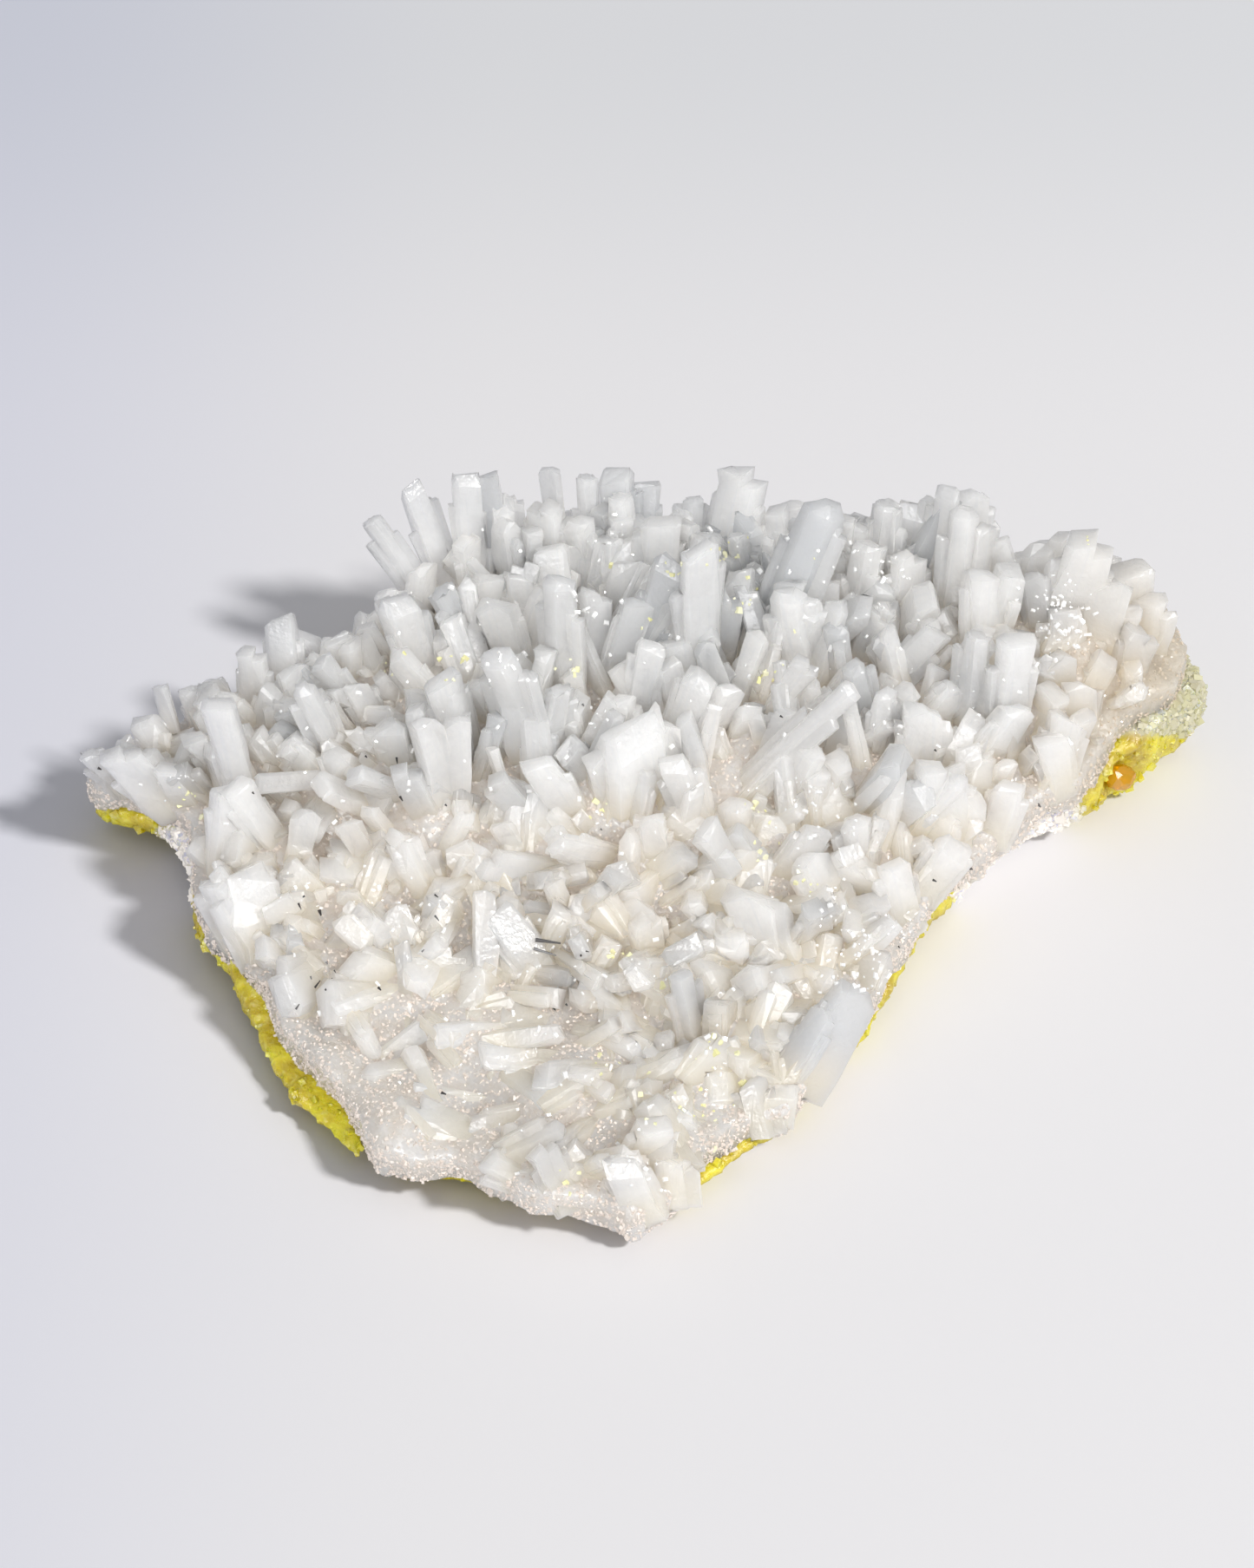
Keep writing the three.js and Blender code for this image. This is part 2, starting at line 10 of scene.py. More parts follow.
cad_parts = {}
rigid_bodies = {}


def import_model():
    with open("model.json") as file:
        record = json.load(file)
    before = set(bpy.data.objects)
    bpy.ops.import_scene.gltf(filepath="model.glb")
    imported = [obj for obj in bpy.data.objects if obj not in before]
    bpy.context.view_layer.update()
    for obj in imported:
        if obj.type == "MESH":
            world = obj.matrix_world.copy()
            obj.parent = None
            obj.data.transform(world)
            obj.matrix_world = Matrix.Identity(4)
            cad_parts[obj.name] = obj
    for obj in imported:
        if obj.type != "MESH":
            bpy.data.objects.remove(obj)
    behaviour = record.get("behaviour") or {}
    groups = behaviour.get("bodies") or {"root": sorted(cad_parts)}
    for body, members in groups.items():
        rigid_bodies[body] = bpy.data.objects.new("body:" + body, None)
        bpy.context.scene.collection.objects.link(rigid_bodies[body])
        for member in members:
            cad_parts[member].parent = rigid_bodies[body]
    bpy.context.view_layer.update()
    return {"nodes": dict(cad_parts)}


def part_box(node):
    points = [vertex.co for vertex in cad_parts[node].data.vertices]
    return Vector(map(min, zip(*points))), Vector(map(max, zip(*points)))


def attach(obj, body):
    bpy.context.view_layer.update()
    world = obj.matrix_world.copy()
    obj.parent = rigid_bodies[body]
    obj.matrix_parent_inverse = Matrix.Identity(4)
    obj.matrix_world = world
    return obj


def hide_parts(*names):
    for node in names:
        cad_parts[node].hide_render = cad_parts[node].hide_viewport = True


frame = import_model()


# The camera looks down on the specimen from the front at 45 degrees, through an 85 mm lens on a
# frame of 1445 by 1807 pixels. Places on the specimen are read as pixels of that frame.
MM = 0.001
FRAME_PX = (1445, 1807)
LENS_MM = 85
SENSOR_MM = 36
FOCAL_PX = LENS_MM / SENSOR_MM * FRAME_PX[1]
VIEW_ELEVATION = math.radians(45)
VIEW_DISTANCE = 500 * MM
VIEW_TARGET = Vector((-3.2, 6.5, 20)) * MM
VIEW_RIGHT = Vector((1, 0, 0))
VIEW_UP = Vector((0, math.sin(VIEW_ELEVATION), math.cos(VIEW_ELEVATION)))
VIEW_BACK = Vector((0, -math.cos(VIEW_ELEVATION), math.sin(VIEW_ELEVATION)))
EYE = VIEW_TARGET + VIEW_BACK * VIEW_DISTANCE


def line_of_sight(px, py):
    across = (px - FRAME_PX[0] / 2) / FOCAL_PX
    up = (FRAME_PX[1] / 2 - py) / FOCAL_PX
    return VIEW_RIGHT * across + VIEW_UP * up - VIEW_BACK


def point_at_height(px, py, height):
    ray = line_of_sight(px, py)
    return EYE + ray * ((height - EYE.z) / ray.z)


FARTHEST_SEEN = 10

bpy.ops.object.select_all(action="DESELECT")
bpy.ops.object.camera_add(location=EYE, rotation=(math.pi / 2 - VIEW_ELEVATION, 0, 0))
camera = bpy.context.object
camera.name = "camera"
camera.data.lens = LENS_MM
camera.data.sensor_width = SENSOR_MM
camera.data.clip_end = FARTHEST_SEEN
bpy.context.scene.camera = camera


# The crust is a plate of fine intergrown celestite, about 5 mm thick, which coats the sulfur. A
# lumpy slab is cut out along the specimen's edge, and its surface is then roughened.
CRUST_RIM = [  # clockwise from the left tip: pixel x, pixel y, height in mm
    (98, 905, 9), (112, 925, 8), (150, 940, 7), (195, 962, 6), (222, 985, 6), (226, 1050, 6),
    (240, 1085, 6.5), (266, 1105, 6.5), (304, 1150, 6), (322, 1192, 6), (354, 1234, 5.5),
    (388, 1268, 5.5), (412, 1302, 5.5), (434, 1344, 5), (478, 1362, 4.5), (530, 1358, 4.5),
    (565, 1378, 4.5), (625, 1400, 4.5), (690, 1404, 4.5), (730, 1420, 4.5), (778, 1392, 5),
    (808, 1338, 5), (854, 1306, 5), (905, 1296, 5.5), (930, 1262, 6), (968, 1218, 6),
    (1002, 1175, 6), (1040, 1105, 6.5), (1078, 1050, 7), (1145, 1000, 7), (1196, 958, 7.5),
    (1240, 938, 8), (1270, 892, 9.5), (1310, 850, 10.5), (1352, 822, 11), (1366, 776, 12),
    (1352, 742, 14), (1336, 712, 15), (1306, 690, 14), (1262, 684, 12), (1200, 696, 10),
    (1130, 706, 9), (1050, 708, 9), (970, 712, 9), (880, 710, 9), (800, 706, 9), (720, 706, 9),
    (640, 708, 9), (560, 712, 9), (500, 722, 9), (462, 748, 9), (430, 776, 9), (385, 800, 9),
    (325, 815, 9), (265, 836, 9), (205, 856, 9), (150, 872, 9), (115, 888, 9),
]
CRUST_THICKNESS = 5.2 * MM
CRUST_BASE_HEIGHT = 8.4 * MM
MOUNDS_MM = [  # centre x and y, spread in x and y, and rise
    (4, 24, 44, 25, 9.5), (-52, 16, 20, 16, 2.6), (64, 40, 17, 17, 9),
]
LUMP_WAVES_MM = [  # length in x and y, phase in radians, and rise
    (31, 24, 0.6, 0.7), (-17, 21, 2.1, 0.6), (11, 13, 4.0, 0.4),
]
INNER_LUMPS = 0.5  # of the surface on the sulfur, over the lumps of the top
GAP_FILL = {  # how fine crystals raise the crust in the gaps between the prisms
    "rise": 3 * MM, "from_rim": 3 * MM, "full_at": 9 * MM, "from_y": -12 * MM, "full_y": 8 * MM,
}
WALL_LEAN = {"over": 0.985, "under": 0.975}  # how far a wall leans in, as shares of the rim
SLAB_SIZE = (176 * MM, 130 * MM)
SLAB_CELL = 2 * MM
CLEAR_HEIGHT = 90 * MM
CRUST_VOXEL = 0.95 * MM
CRUST_KEPT = 0.6  # of the remeshed faces
CRUST_ROUGHNESS_MM = [(9, 1.3), (3.2, 0.9), (1.3, 0.5)]  # size of the bumps, and their height
DRAW = {"item": 12.9898, "choice": 78.233, "stretch": 43758.5453}  # steps that leave no pattern


def draw(item, choice):
    """A repeatable number from 0 to 1. Each kind of choice about a thing has its own number."""
    wave = np.sin(item * DRAW["item"] + choice * DRAW["choice"]) * DRAW["stretch"]
    return wave - np.floor(wave)


def how_far(value, start, end):
    """How far a value is on its way from start to end, from 0 to 1."""
    return np.clip((value - start) / (end - start), 0, 1)


def lumps(x, y):
    height = 0
    for length_x, length_y, phase, rise in LUMP_WAVES_MM:
        height = height + rise * np.sin(2 * np.pi * (x / length_x + y / length_y) / MM + phase)
    return height * MM


def crust_top(x, y):
    height = CRUST_BASE_HEIGHT + lumps(x, y)
    for centre_x, centre_y, spread_x, spread_y, rise in MOUNDS_MM:
        across = (x / MM - centre_x) / spread_x
        along = (y / MM - centre_y) / spread_y
        height = height + rise * MM * np.exp(-0.5 * (across * across + along * along))
    return height


def crust_under(x, y):
    return crust_top(x, y) - CRUST_THICKNESS - INNER_LUMPS * lumps(y, x)


def gap_fill(places):
    """How much the crust is raised at some places: not near the rim, nor in the low front."""
    starts = np.array([point.xy for point in crust_rim])
    sides = np.roll(starts, -1, axis=0) - starts
    from_start = places[:, None] - starts
    along = np.clip((from_start * sides).sum(axis=2) / (sides * sides).sum(axis=1), 0, 1)
    inward = np.linalg.norm(from_start - sides * along[..., None], axis=2).min(axis=1)
    inner = how_far(inward, GAP_FILL["from_rim"], GAP_FILL["full_at"])
    return GAP_FILL["rise"] * inner * how_far(places[:, 1], GAP_FILL["from_y"], GAP_FILL["full_y"])


def select_in_edit(shape, kind, wanted=lambda element: True):
    """Select the vertices, edges or faces of a shape in edit mode that a test picks."""
    bpy.ops.object.mode_set(mode="EDIT")
    bpy.ops.mesh.select_mode(type={"verts": "VERT", "edges": "EDGE", "faces": "FACE"}[kind])
    bpy.ops.mesh.select_all(action="DESELECT")
    edited = bmesh.from_edit_mesh(shape.data)
    for element in getattr(edited, kind):
        if wanted(element):
            element.select_set(True)
    edited.select_flush_mode()
    bmesh.update_edit_mesh(shape.data)


def turn_outwards():
    """Point every face of the shape in edit mode outwards, and leave edit mode."""
    bpy.ops.mesh.select_all(action="SELECT")
    bpy.ops.mesh.normals_make_consistent(inside=False)
    bpy.ops.object.mode_set(mode="OBJECT")


def finish_with(shape, kind, **settings):
    """Add a modifier with its settings and apply it."""
    bpy.context.view_layer.objects.active = shape
    modifier = shape.modifiers.new(kind.lower(), kind)
    for setting, value in settings.items():
        setattr(modifier, setting, value)
    bpy.ops.object.modifier_apply(modifier=modifier.name)


def roughen(shape, bumps_mm):
    """Raise bumps of several sizes over a surface."""
    for size, height in bumps_mm:
        bumps = bpy.data.textures.new(f"bumps_{size}_mm", "CLOUDS")
        bumps.noise_scale = size * MM
        bumps.noise_depth = 1
        finish_with(shape, "DISPLACE", texture=bumps, texture_coords="LOCAL", strength=height * MM)


def points_of(shape):
    points = np.empty(3 * len(shape.data.vertices))
    shape.data.vertices.foreach_get("co", points)
    return points.reshape(-1, 3)


def move_points(shape, points):
    shape.data.vertices.foreach_set("co", points.ravel())
    shape.data.update()


crust_rim = [point_at_height(px, py, height * MM) for px, py, height in CRUST_RIM]
bpy.ops.object.select_all(action="DESELECT")
bpy.ops.mesh.primitive_circle_add(vertices=len(CRUST_RIM), fill_type="NOTHING")
crust_outline = bpy.context.object
move_points(crust_outline, np.array(crust_rim))
for side, reach in (("over", CLEAR_HEIGHT), ("under", -CLEAR_HEIGHT)):
    select_in_edit(crust_outline, "verts", lambda vertex: abs(vertex.co.z) < CLEAR_HEIGHT / 2)
    bpy.ops.mesh.extrude_region_move()
    lean = WALL_LEAN[side]
    bpy.ops.transform.resize(value=(lean, lean, 0), center_override=(0, 0, reach))
    bpy.ops.mesh.edge_face_add()
turn_outwards()

bpy.ops.object.select_all(action="DESELECT")
cells_x, cells_y = [round(side / SLAB_CELL) for side in SLAB_SIZE]
bpy.ops.mesh.primitive_grid_add(x_subdivisions=cells_x, y_subdivisions=cells_y, size=1)
druse = bpy.context.object
druse.name = "celestite_crystals_on_crust"
druse.scale = (*SLAB_SIZE, 1)
bpy.ops.object.transform_apply(scale=True)
select_in_edit(druse, "faces")
bpy.ops.mesh.extrude_region_move(TRANSFORM_OT_translate={"value": (0, 0, 1)})
turn_outwards()
points = points_of(druse)
is_top = points[:, 2] > 0.5
heights_over = crust_top(points[:, 0], points[:, 1]) + gap_fill(points[:, :2])
heights_under = crust_under(points[:, 0], points[:, 1])
points[:, 2] = np.where(is_top, heights_over, heights_under)
move_points(druse, points)
finish_with(druse, "BOOLEAN", operation="INTERSECT", object=crust_outline, solver="EXACT")
bpy.data.objects.remove(crust_outline)
finish_with(druse, "REMESH", mode="VOXEL", voxel_size=CRUST_VOXEL)
roughen(druse, CRUST_ROUGHNESS_MM)
finish_with(druse, "DECIMATE", ratio=CRUST_KEPT)


# The crystals are flattened celestite prisms, intergrown with the crust and each other. A few
# forms are modelled once, one unit wide with the tip up, and every crystal is a stretched copy.
FORM_FLATNESS = 0.66
FACING_UP = 0.9  # the least upward part of the direction of a tip's face
TIP_REACH = 0.34  # how deep a tip goes
CLEAVED_REACH = 0.59  # and a tip that is broken off at a slant
RING_BELOW_TIP = 0.01


def placed_block(flatness, turn=0):
    """Flatten and turn the primitive that was just added, in its mesh."""
    block = bpy.context.object
    block.rotation_euler = (0, 0, turn)
    block.scale = (1, flatness, 1)
    bpy.ops.object.transform_apply()
    return block


def new_block(flatness=FORM_FLATNESS):
    bpy.ops.object.select_all(action="DESELECT")
    bpy.ops.mesh.primitive_cube_add(size=1, location=(0, 0, -0.5))
    return placed_block(flatness)


def new_rod(sides, flatness, turn=0):
    bpy.ops.object.select_all(action="DESELECT")
    bpy.ops.mesh.primitive_cylinder_add(vertices=sides, radius=0.5, depth=1, location=(0, 0, -0.5))
    return placed_block(flatness, turn)


def bevel_long_edges(block, width, picked=lambda place: True):
    def is_long(edge):
        one, other = edge.verts
        return abs(one.co.z - other.co.z) > 0.5 and picked(one.co)
    select_in_edit(block, "edges", is_long)
    bpy.ops.mesh.bevel(offset=width, segments=1, affect="EDGES")


def pick_top(block, picked=lambda place: True):
    select_in_edit(
        block, "faces", lambda face: face.normal.z > FACING_UP and picked(face.calc_center_median())
    )


def cleave(block, through, towards):
    """Break off what lies past a plane, and close the face that is left."""
    select_in_edit(block, "faces")
    bpy.ops.mesh.bisect(plane_co=through, plane_no=towards, use_fill=True, clear_outer=True)


def flat_topped():
    block = new_block()
    bevel_long_edges(block, width=0.13)
    pick_top(block)
    bpy.ops.mesh.inset(thickness=0.1, depth=0.08)
    return block


def roof_topped():
    block = new_block()
    bevel_long_edges(block, width=0.09)
    pick_top(block)
    bpy.ops.mesh.extrude_region_move(TRANSFORM_OT_translate={"value": (0, 0, 0.4)})
    bpy.ops.transform.resize(value=(0.86, 0.22, 1))
    return block


def six_sided():
    block = new_rod(sides=6, flatness=0.8, turn=math.pi / 6)
    pick_top(block)
    bpy.ops.mesh.inset(thickness=0.1, depth=0.16)
    bpy.ops.transform.resize(value=(0.9, 0.6, 1))
    return block


def stepped():
    step_x = 0.08
    block = new_block(flatness=0.6)
    bevel_long_edges(block, width=0.08)
    select_in_edit(block, "faces")
    bpy.ops.mesh.bisect(plane_co=(step_x, 0, 0), plane_no=(1, 0, 0))
    pick_top(block, lambda place: place.x < step_x)
    bpy.ops.mesh.extrude_region_move(TRANSFORM_OT_translate={"value": (0, 0, 0.3)})
    # An extrude makes its side edges and faces in an order that changes from run to run, and the
    # corners of the last cut follow it, so they are put in order here
    edited = bmesh.from_edit_mesh(block.data)
    edited.edges.index_update()
    edge_count = len(edited.edges)

    def rank(edge):
        one, other = edge.verts
        is_side = abs(one.co.z - other.co.z) > 0.1 and min(one.co.z, other.co.z) > -0.5
        return edge_count + 0.1 * one.co.x - one.co.y if is_side else edge.index
    edited.edges.sort(key=rank)
    edited.faces.sort(key=lambda face: face.calc_center_median().dot((0.1, 1, 3)))
    bmesh.update_edit_mesh(block.data)
    cleave(block, through=(-0.42, 0, 0.3), towards=(-0.55, 0, 0.83))
    return block


def cleaved():
    block = new_block()
    bevel_long_edges(block, width=0.12, picked=lambda place: place.x * place.y > 0)
    cleave(block, through=(0.06, 0, 0), towards=(0.5, 0.22, 0.84))
    cleave(block, through=(-0.24, 0, 0), towards=(-0.44, -0.36, 0.82))
    cleave(block, through=(0, 0.2, -0.14), towards=(0, 0.7, 0.7))
    return block


def thin_blade():
    block = new_block(flatness=0.34)
    bevel_long_edges(block, width=0.14)
    cleave(block, through=(0.1, 0, 0), towards=(0.42, 0, 0.9))
    cleave(block, through=(-0.36, 0, 0), towards=(-0.75, 0, 0.66))
    return block


def fluted():
    block = new_rod(sides=14, flatness=0.72)
    # Every second long edge is a furrow
    furrows = {round(math.atan2(v.co.y, v.co.x), 3) for v in list(block.data.vertices)[2::4]}
    select_in_edit(block, "verts", lambda v: round(math.atan2(v.co.y, v.co.x), 3) in furrows)
    bpy.ops.transform.resize(value=(0.84, 0.8, 1), center_override=(0, 0, 0))
    pick_top(block)
    bpy.ops.mesh.inset(thickness=0.06, depth=0.06)
    return block


def read_form(block, tip_reach=TIP_REACH, rings=()):
    """The corners and faces of a modelled form, with its highest point at zero. What is above
    tip_reach is the tip, which keeps its shape when a crystal is stretched. Rings are cut round the
    shaft at some depths, for it to waver at."""
    for depth in rings:
        select_in_edit(block, "faces")
        bpy.ops.mesh.bisect(plane_co=(0, 0, -depth), plane_no=(0, 0, 1))
    bpy.ops.object.mode_set(mode="OBJECT")
    corners = points_of(block)
    is_tip = corners[:, 2] > -tip_reach
    tip_depth = corners[:, 2].max() - corners[is_tip, 2].min()
    corners[:, 2] -= corners[:, 2].max()
    faces = [list(face.vertices) for face in block.data.polygons]
    normals = np.array([face.normal for face in block.data.polygons])
    bpy.data.objects.remove(block)
    return {"corners": corners, "faces": faces, "normals": normals, "tip": tip_depth, "is_tip": is_tip}


FORM_MAKERS = {
    "flat": (flat_topped, TIP_REACH), "roof": (roof_topped, TIP_REACH), "six": (six_sided, TIP_REACH),
    "stepped": (stepped, TIP_REACH), "cleaved": (cleaved, CLEAVED_REACH),
    "blade": (thin_blade, CLEAVED_REACH), "fluted": (fluted, TIP_REACH),
}
SHORT_FORMS = {kind: read_form(make(), reach) for kind, (make, reach) in FORM_MAKERS.items()}
TALL_FORMS = {
    kind: read_form(make(), reach, (reach + RING_BELOW_TIP, (1 + reach) / 2))
    for kind, (make, reach) in FORM_MAKERS.items()
}
TALL = 9 * MM  # a longer crystal wavers along its shaft
WAVER = {"width": 0.24, "shift": 0.1}  # of a shaft's rings, over its width
RING_STEPS = 20  # corners whose depths round to the same step of a width waver together
CHIPPED = 0.14  # how far corners are out of place, over the width
MOST_TIP = 0.7  # of the length of a short crystal
LINE_SHIFT_MM = 40  # between the growth lines of crystals of different tones
ROOT_DEPTH = 2.6 * MM
crystals = bpy.data.collections.new("crystals")
bpy.context.scene.collection.children.link(crystals)


def side_of(along, roll):
    """Which way the width of a crystal goes, from its direction and its turn about that."""
    return Matrix.Rotation(roll, 3, along) @ along.cross(VIEW_BACK).normalized()


def strays(things, choice, tone):
    """Three numbers from -0.5 to 0.5 for each of some things."""
    return np.array([draw(things, choice + way + tone) for way in range(3)]).T - 0.5


def add_crystal(form, root, tip, width, roll, slant, tone):
    """Stretch a copy of a form from its root to its tip, and note what its faces belong to."""
    length = (tip - root).length
    along = (tip - root).normalized()
    side = side_of(along, roll)
    turn = np.array([side, along.cross(side), along])
    local = form["corners"] * width
    is_tip = form["is_tip"]
    tip_depth = min(form["tip"] * width, MOST_TIP * length)
    depth = -form["corners"][:, 2]
    up_shaft = 1 - (depth - form["tip"]) / (depth.max() - form["tip"])
    in_tip = length - depth * tip_depth / form["tip"]
    local[:, 2] = np.where(is_tip, in_tip, up_shaft * (length - tip_depth))
    waver = strays(np.where(is_tip, 0, np.round(depth * RING_STEPS)), 60, tone)
    local[:, :2] *= 1 + WAVER["width"] * waver[:, :1]
    local[:, :2] += WAVER["shift"] * width * waver[:, 1:]
    local[:, 2] += np.where(is_tip, slant * local[:, 0], 0)
    local += CHIPPED * width * strays(np.arange(len(local)), 70, tone)
    mesh = bpy.data.meshes.new("crystal")
    mesh.from_pydata(np.array(root) + local @ turn, [], form["faces"])
    mesh.shade_flat()
    for name, value in (("growth", 1), ("tone", tone)):
        values = [value] * len(form["faces"])
        mesh.attributes.new(name, "FLOAT", "FACE").data.foreach_set("value", values)
    layer = mesh.uv_layers.new(name="UVMap")
    lines_at = []
    for face, normal in zip(form["faces"], form["normals"]):
        across = 0 if abs(normal[1]) > abs(normal[0]) else 1
        for x, height in local[face][:, (across, 2)]:
            lines_at += [x / MM + LINE_SHIFT_MM * tone, (height - ROOT_DEPTH) / MM]
    layer.uv.foreach_set("vector", lines_at)
    crystals.objects.link(bpy.data.objects.new("crystal", mesh))


# The crystals that the photograph shows, as pixels of the foot, pixels of the tip, and width in
# pixels. A sixth number says how steeply one points out of the view, where it isn't the usual.
LEFT_CRYSTALS = [
    (400, 768, 337, 733, 26), (455, 762, 375, 750, 26), (348, 832, 345, 770, 32),
    (392, 882, 362, 795, 38), (425, 835, 378, 765, 36), (375, 868, 318, 842, 32),
    (300, 830, 302, 755, 38), (285, 940, 278, 815, 33), (275, 835, 245, 808, 22),
    (295, 850, 325, 800, 34), (265, 990, 280, 905, 52), (318, 975, 283, 905, 40),
    (405, 895, 302, 905, 22), (378, 922, 358, 960, 34), (340, 922, 330, 932, 14),
    (195, 872, 247, 862, 40), (158, 912, 150, 866, 50), (190, 866, 178, 828, 46),
    (126, 902, 114, 868, 34), (216, 925, 207, 885, 34), (235, 835, 228, 795, 28),
    (250, 830, 243, 792, 18),
]
MIDDLE_CRYSTALS = [
    (482, 700, 440, 612, 34), (515, 690, 485, 575, 34), (548, 700, 545, 565, 34),
    (575, 690, 568, 567, 32), (590, 690, 597, 587, 24), (610, 690, 612, 620, 22),
    (640, 670, 637, 560, 28), (650, 680, 652, 600, 24), (672, 660, 677, 567, 32),
    (715, 660, 714, 557, 40), (725, 680, 745, 570, 40), (680, 730, 700, 632, 52),
    (652, 815, 645, 680, 50), (690, 800, 685, 690, 34), (752, 720, 760, 612, 46),
    (800, 640, 798, 585, 26), (825, 690, 850, 560, 56), (862, 665, 830, 682, 36, 2.2),
    (805, 790, 800, 650, 50), (725, 800, 775, 660, 44), (700, 800, 735, 700, 36),
    (845, 830, 808, 745, 28), (785, 830, 770, 768, 34), (490, 800, 470, 697, 50),
    (560, 770, 515, 690, 44), (600, 790, 575, 700, 50), (610, 740, 600, 670, 30),
    (540, 880, 520, 785, 50), (615, 880, 585, 760, 60), (660, 815, 645, 850, 48, 2.2),
    (660, 945, 620, 880, 44), (740, 920, 725, 835, 95), (790, 850, 787, 820, 28),
    (755, 990, 750, 935, 40), (745, 990, 742, 940, 26), (790, 960, 800, 905, 24),
    (850, 915, 970, 800, 34), (1000, 850, 975, 770, 44),
]
RIGHT_CRYSTALS = [
    (880, 760, 940, 600, 60), (895, 660, 912, 590, 26), (888, 660, 890, 605, 18),
    (868, 690, 868, 637, 26), (985, 700, 987, 608, 28), (1003, 700, 1000, 625, 20),
    (965, 690, 972, 625, 22), (1040, 720, 1040, 645, 44), (1035, 680, 1035, 602, 26),
    (1052, 690, 1052, 612, 22), (1080, 700, 1075, 577, 34), (1095, 720, 1092, 600, 46),
    (1118, 720, 1120, 615, 24), (1130, 760, 1122, 668, 52), (1160, 700, 1140, 630, 30),
    (1200, 740, 1178, 668, 34), (1222, 735, 1236, 634, 62), (1262, 748, 1268, 676, 60),
    (1290, 722, 1286, 660, 64), (1318, 738, 1312, 694, 56), (1190, 702, 1188, 632, 60),
    (1248, 706, 1250, 636, 60), (1225, 700, 1215, 628, 46), (1300, 770, 1306, 728, 44),
    (1185, 775, 1175, 735, 30), (1180, 812, 1225, 822, 28), (1240, 790, 1188, 772, 12),
    (1050, 790, 1005, 735, 44), (990, 745, 970, 705, 12), (1110, 850, 1108, 740, 44),
    (1155, 850, 1150, 745, 50), (1065, 900, 1055, 815, 52), (1010, 880, 1010, 800, 36),
    (930, 790, 900, 690, 56), (960, 720, 955, 650, 44),
]
FRONT_CRYSTALS = [
    (640, 1000, 560, 990, 34), (600, 990, 580, 945, 30), (715, 1045, 655, 1040, 40),
    (700, 1062, 755, 1048, 48), (625, 1120, 572, 1040, 46), (558, 1150, 562, 1015, 24),
    (470, 1150, 467, 1075, 18), (545, 1110, 478, 1105, 24), (585, 1180, 502, 1185, 28),
    (685, 1235, 616, 1232, 34), (760, 1105, 725, 1120, 40, 1.8), (800, 1195, 783, 1105, 40),
    (815, 1130, 790, 1072, 40), (850, 1100, 832, 1050, 36), (895, 1110, 862, 1015, 64),
    (915, 1005, 872, 995, 30), (960, 1040, 925, 980, 50), (860, 1222, 843, 1185, 14),
    (740, 1390, 715, 1320, 50), (780, 1385, 775, 1325, 50), (640, 1390, 625, 1305, 40),
    (575, 1380, 560, 1325, 40), (880, 1290, 860, 1235, 50), (910, 1290, 900, 1240, 40),
    (300, 1080, 285, 1000, 70), (275, 1075, 255, 1010, 45), (245, 990, 225, 970, 30),
    (410, 985, 450, 970, 40), (415, 1045, 400, 1020, 24), (380, 1090, 430, 1040, 26),
    (500, 1058, 468, 1042, 9), (530, 940, 535, 830, 30), (510, 940, 500, 830, 32),
    (500, 900, 487, 820, 30), (530, 900, 520, 800, 40), (495, 945, 472, 885, 34),
    (455, 830, 458, 858, 34, 2.2), (440, 850, 415, 790, 34), (990, 1010, 975, 940, 44),
    (1090, 960, 1070, 885, 60), (1165, 955, 1158, 905, 40), (1120, 910, 1110, 860, 40),
    (1040, 1050, 1020, 990, 48), (1110, 1020, 1100, 965, 46), (1220, 900, 1200, 850, 44),
]
CLEAR_CRYSTALS = [  # these have fewer veils, and their grey colour is painted shade seen through them
    (930, 1230, 985, 1125, 60), (900, 1240, 950, 1150, 40), (765, 1225, 765, 1178, 24),
    (770, 1220, 795, 1195, 22), (700, 1200, 712, 1170, 34), (725, 1215, 705, 1192, 30),
    (1030, 700, 1082, 590, 30), (905, 650, 905, 605, 22), (795, 625, 805, 590, 22),
]
CLEAR_TONE = 0.93
ROLL_SPREAD = 1.3
SLANT_SPREAD = 0.7
FOOTING = 0.97  # the share of the way out to the rim that crystals have their feet in
FOOT_STEP = 0.98  # how far a foot past the edge is drawn in at a time
SIGHT_STEPS = 12  # towards the place where a line of sight meets the uneven crust
OUT_OF_VIEW = {"least": 0.7, "spread": 0.35, "back_distance": 130 * MM, "clear": 0.55}
FRONT_LIES_LOW = {"from_y": 8 * MM, "to_y": -22 * MM, "out": 0.95, "clear": 0.3, "sunk": 1.4 * MM}
NARROW_KINDS = ["flat", "roof", "six", "cleaved", "blade", "stepped"]
LATH_KINDS = ["flat", "stepped", "six", "roof", "fluted", "cleaved"]
WIDE = 4 * MM  # a wider crystal is a bundle of laths grown side by side
LATHS = [  # place across, width and length, as shares of the crystal's
    (0.04, 0.86, 1), (-0.38, 0.46, 0.9), (0.42, 0.4, 0.82),
]
LATH_SPREAD = {"shorter": 0.14, "root": 0.8, "splay": 0.35, "inwards": 0.3, "roll": 0.3, "tone": 0.2}
TONE_ENDS = (0.01, 0.99)


def within_rim(x, y, share):
    """Whether a point lies within a share of the way out to the rim, by the even-odd rule."""
    inside = False
    for place, start in enumerate(crust_rim):
        end = crust_rim[place - 1]
        ax, ay, bx, by = start.x * share, start.y * share, end.x * share, end.y * share
        if (ay > y) != (by > y) and x < ax + (bx - ax) * (y - ay) / (by - ay):
            inside = not inside
    return inside


def top_at(foot):
    return float(crust_top(foot.x, foot.y))


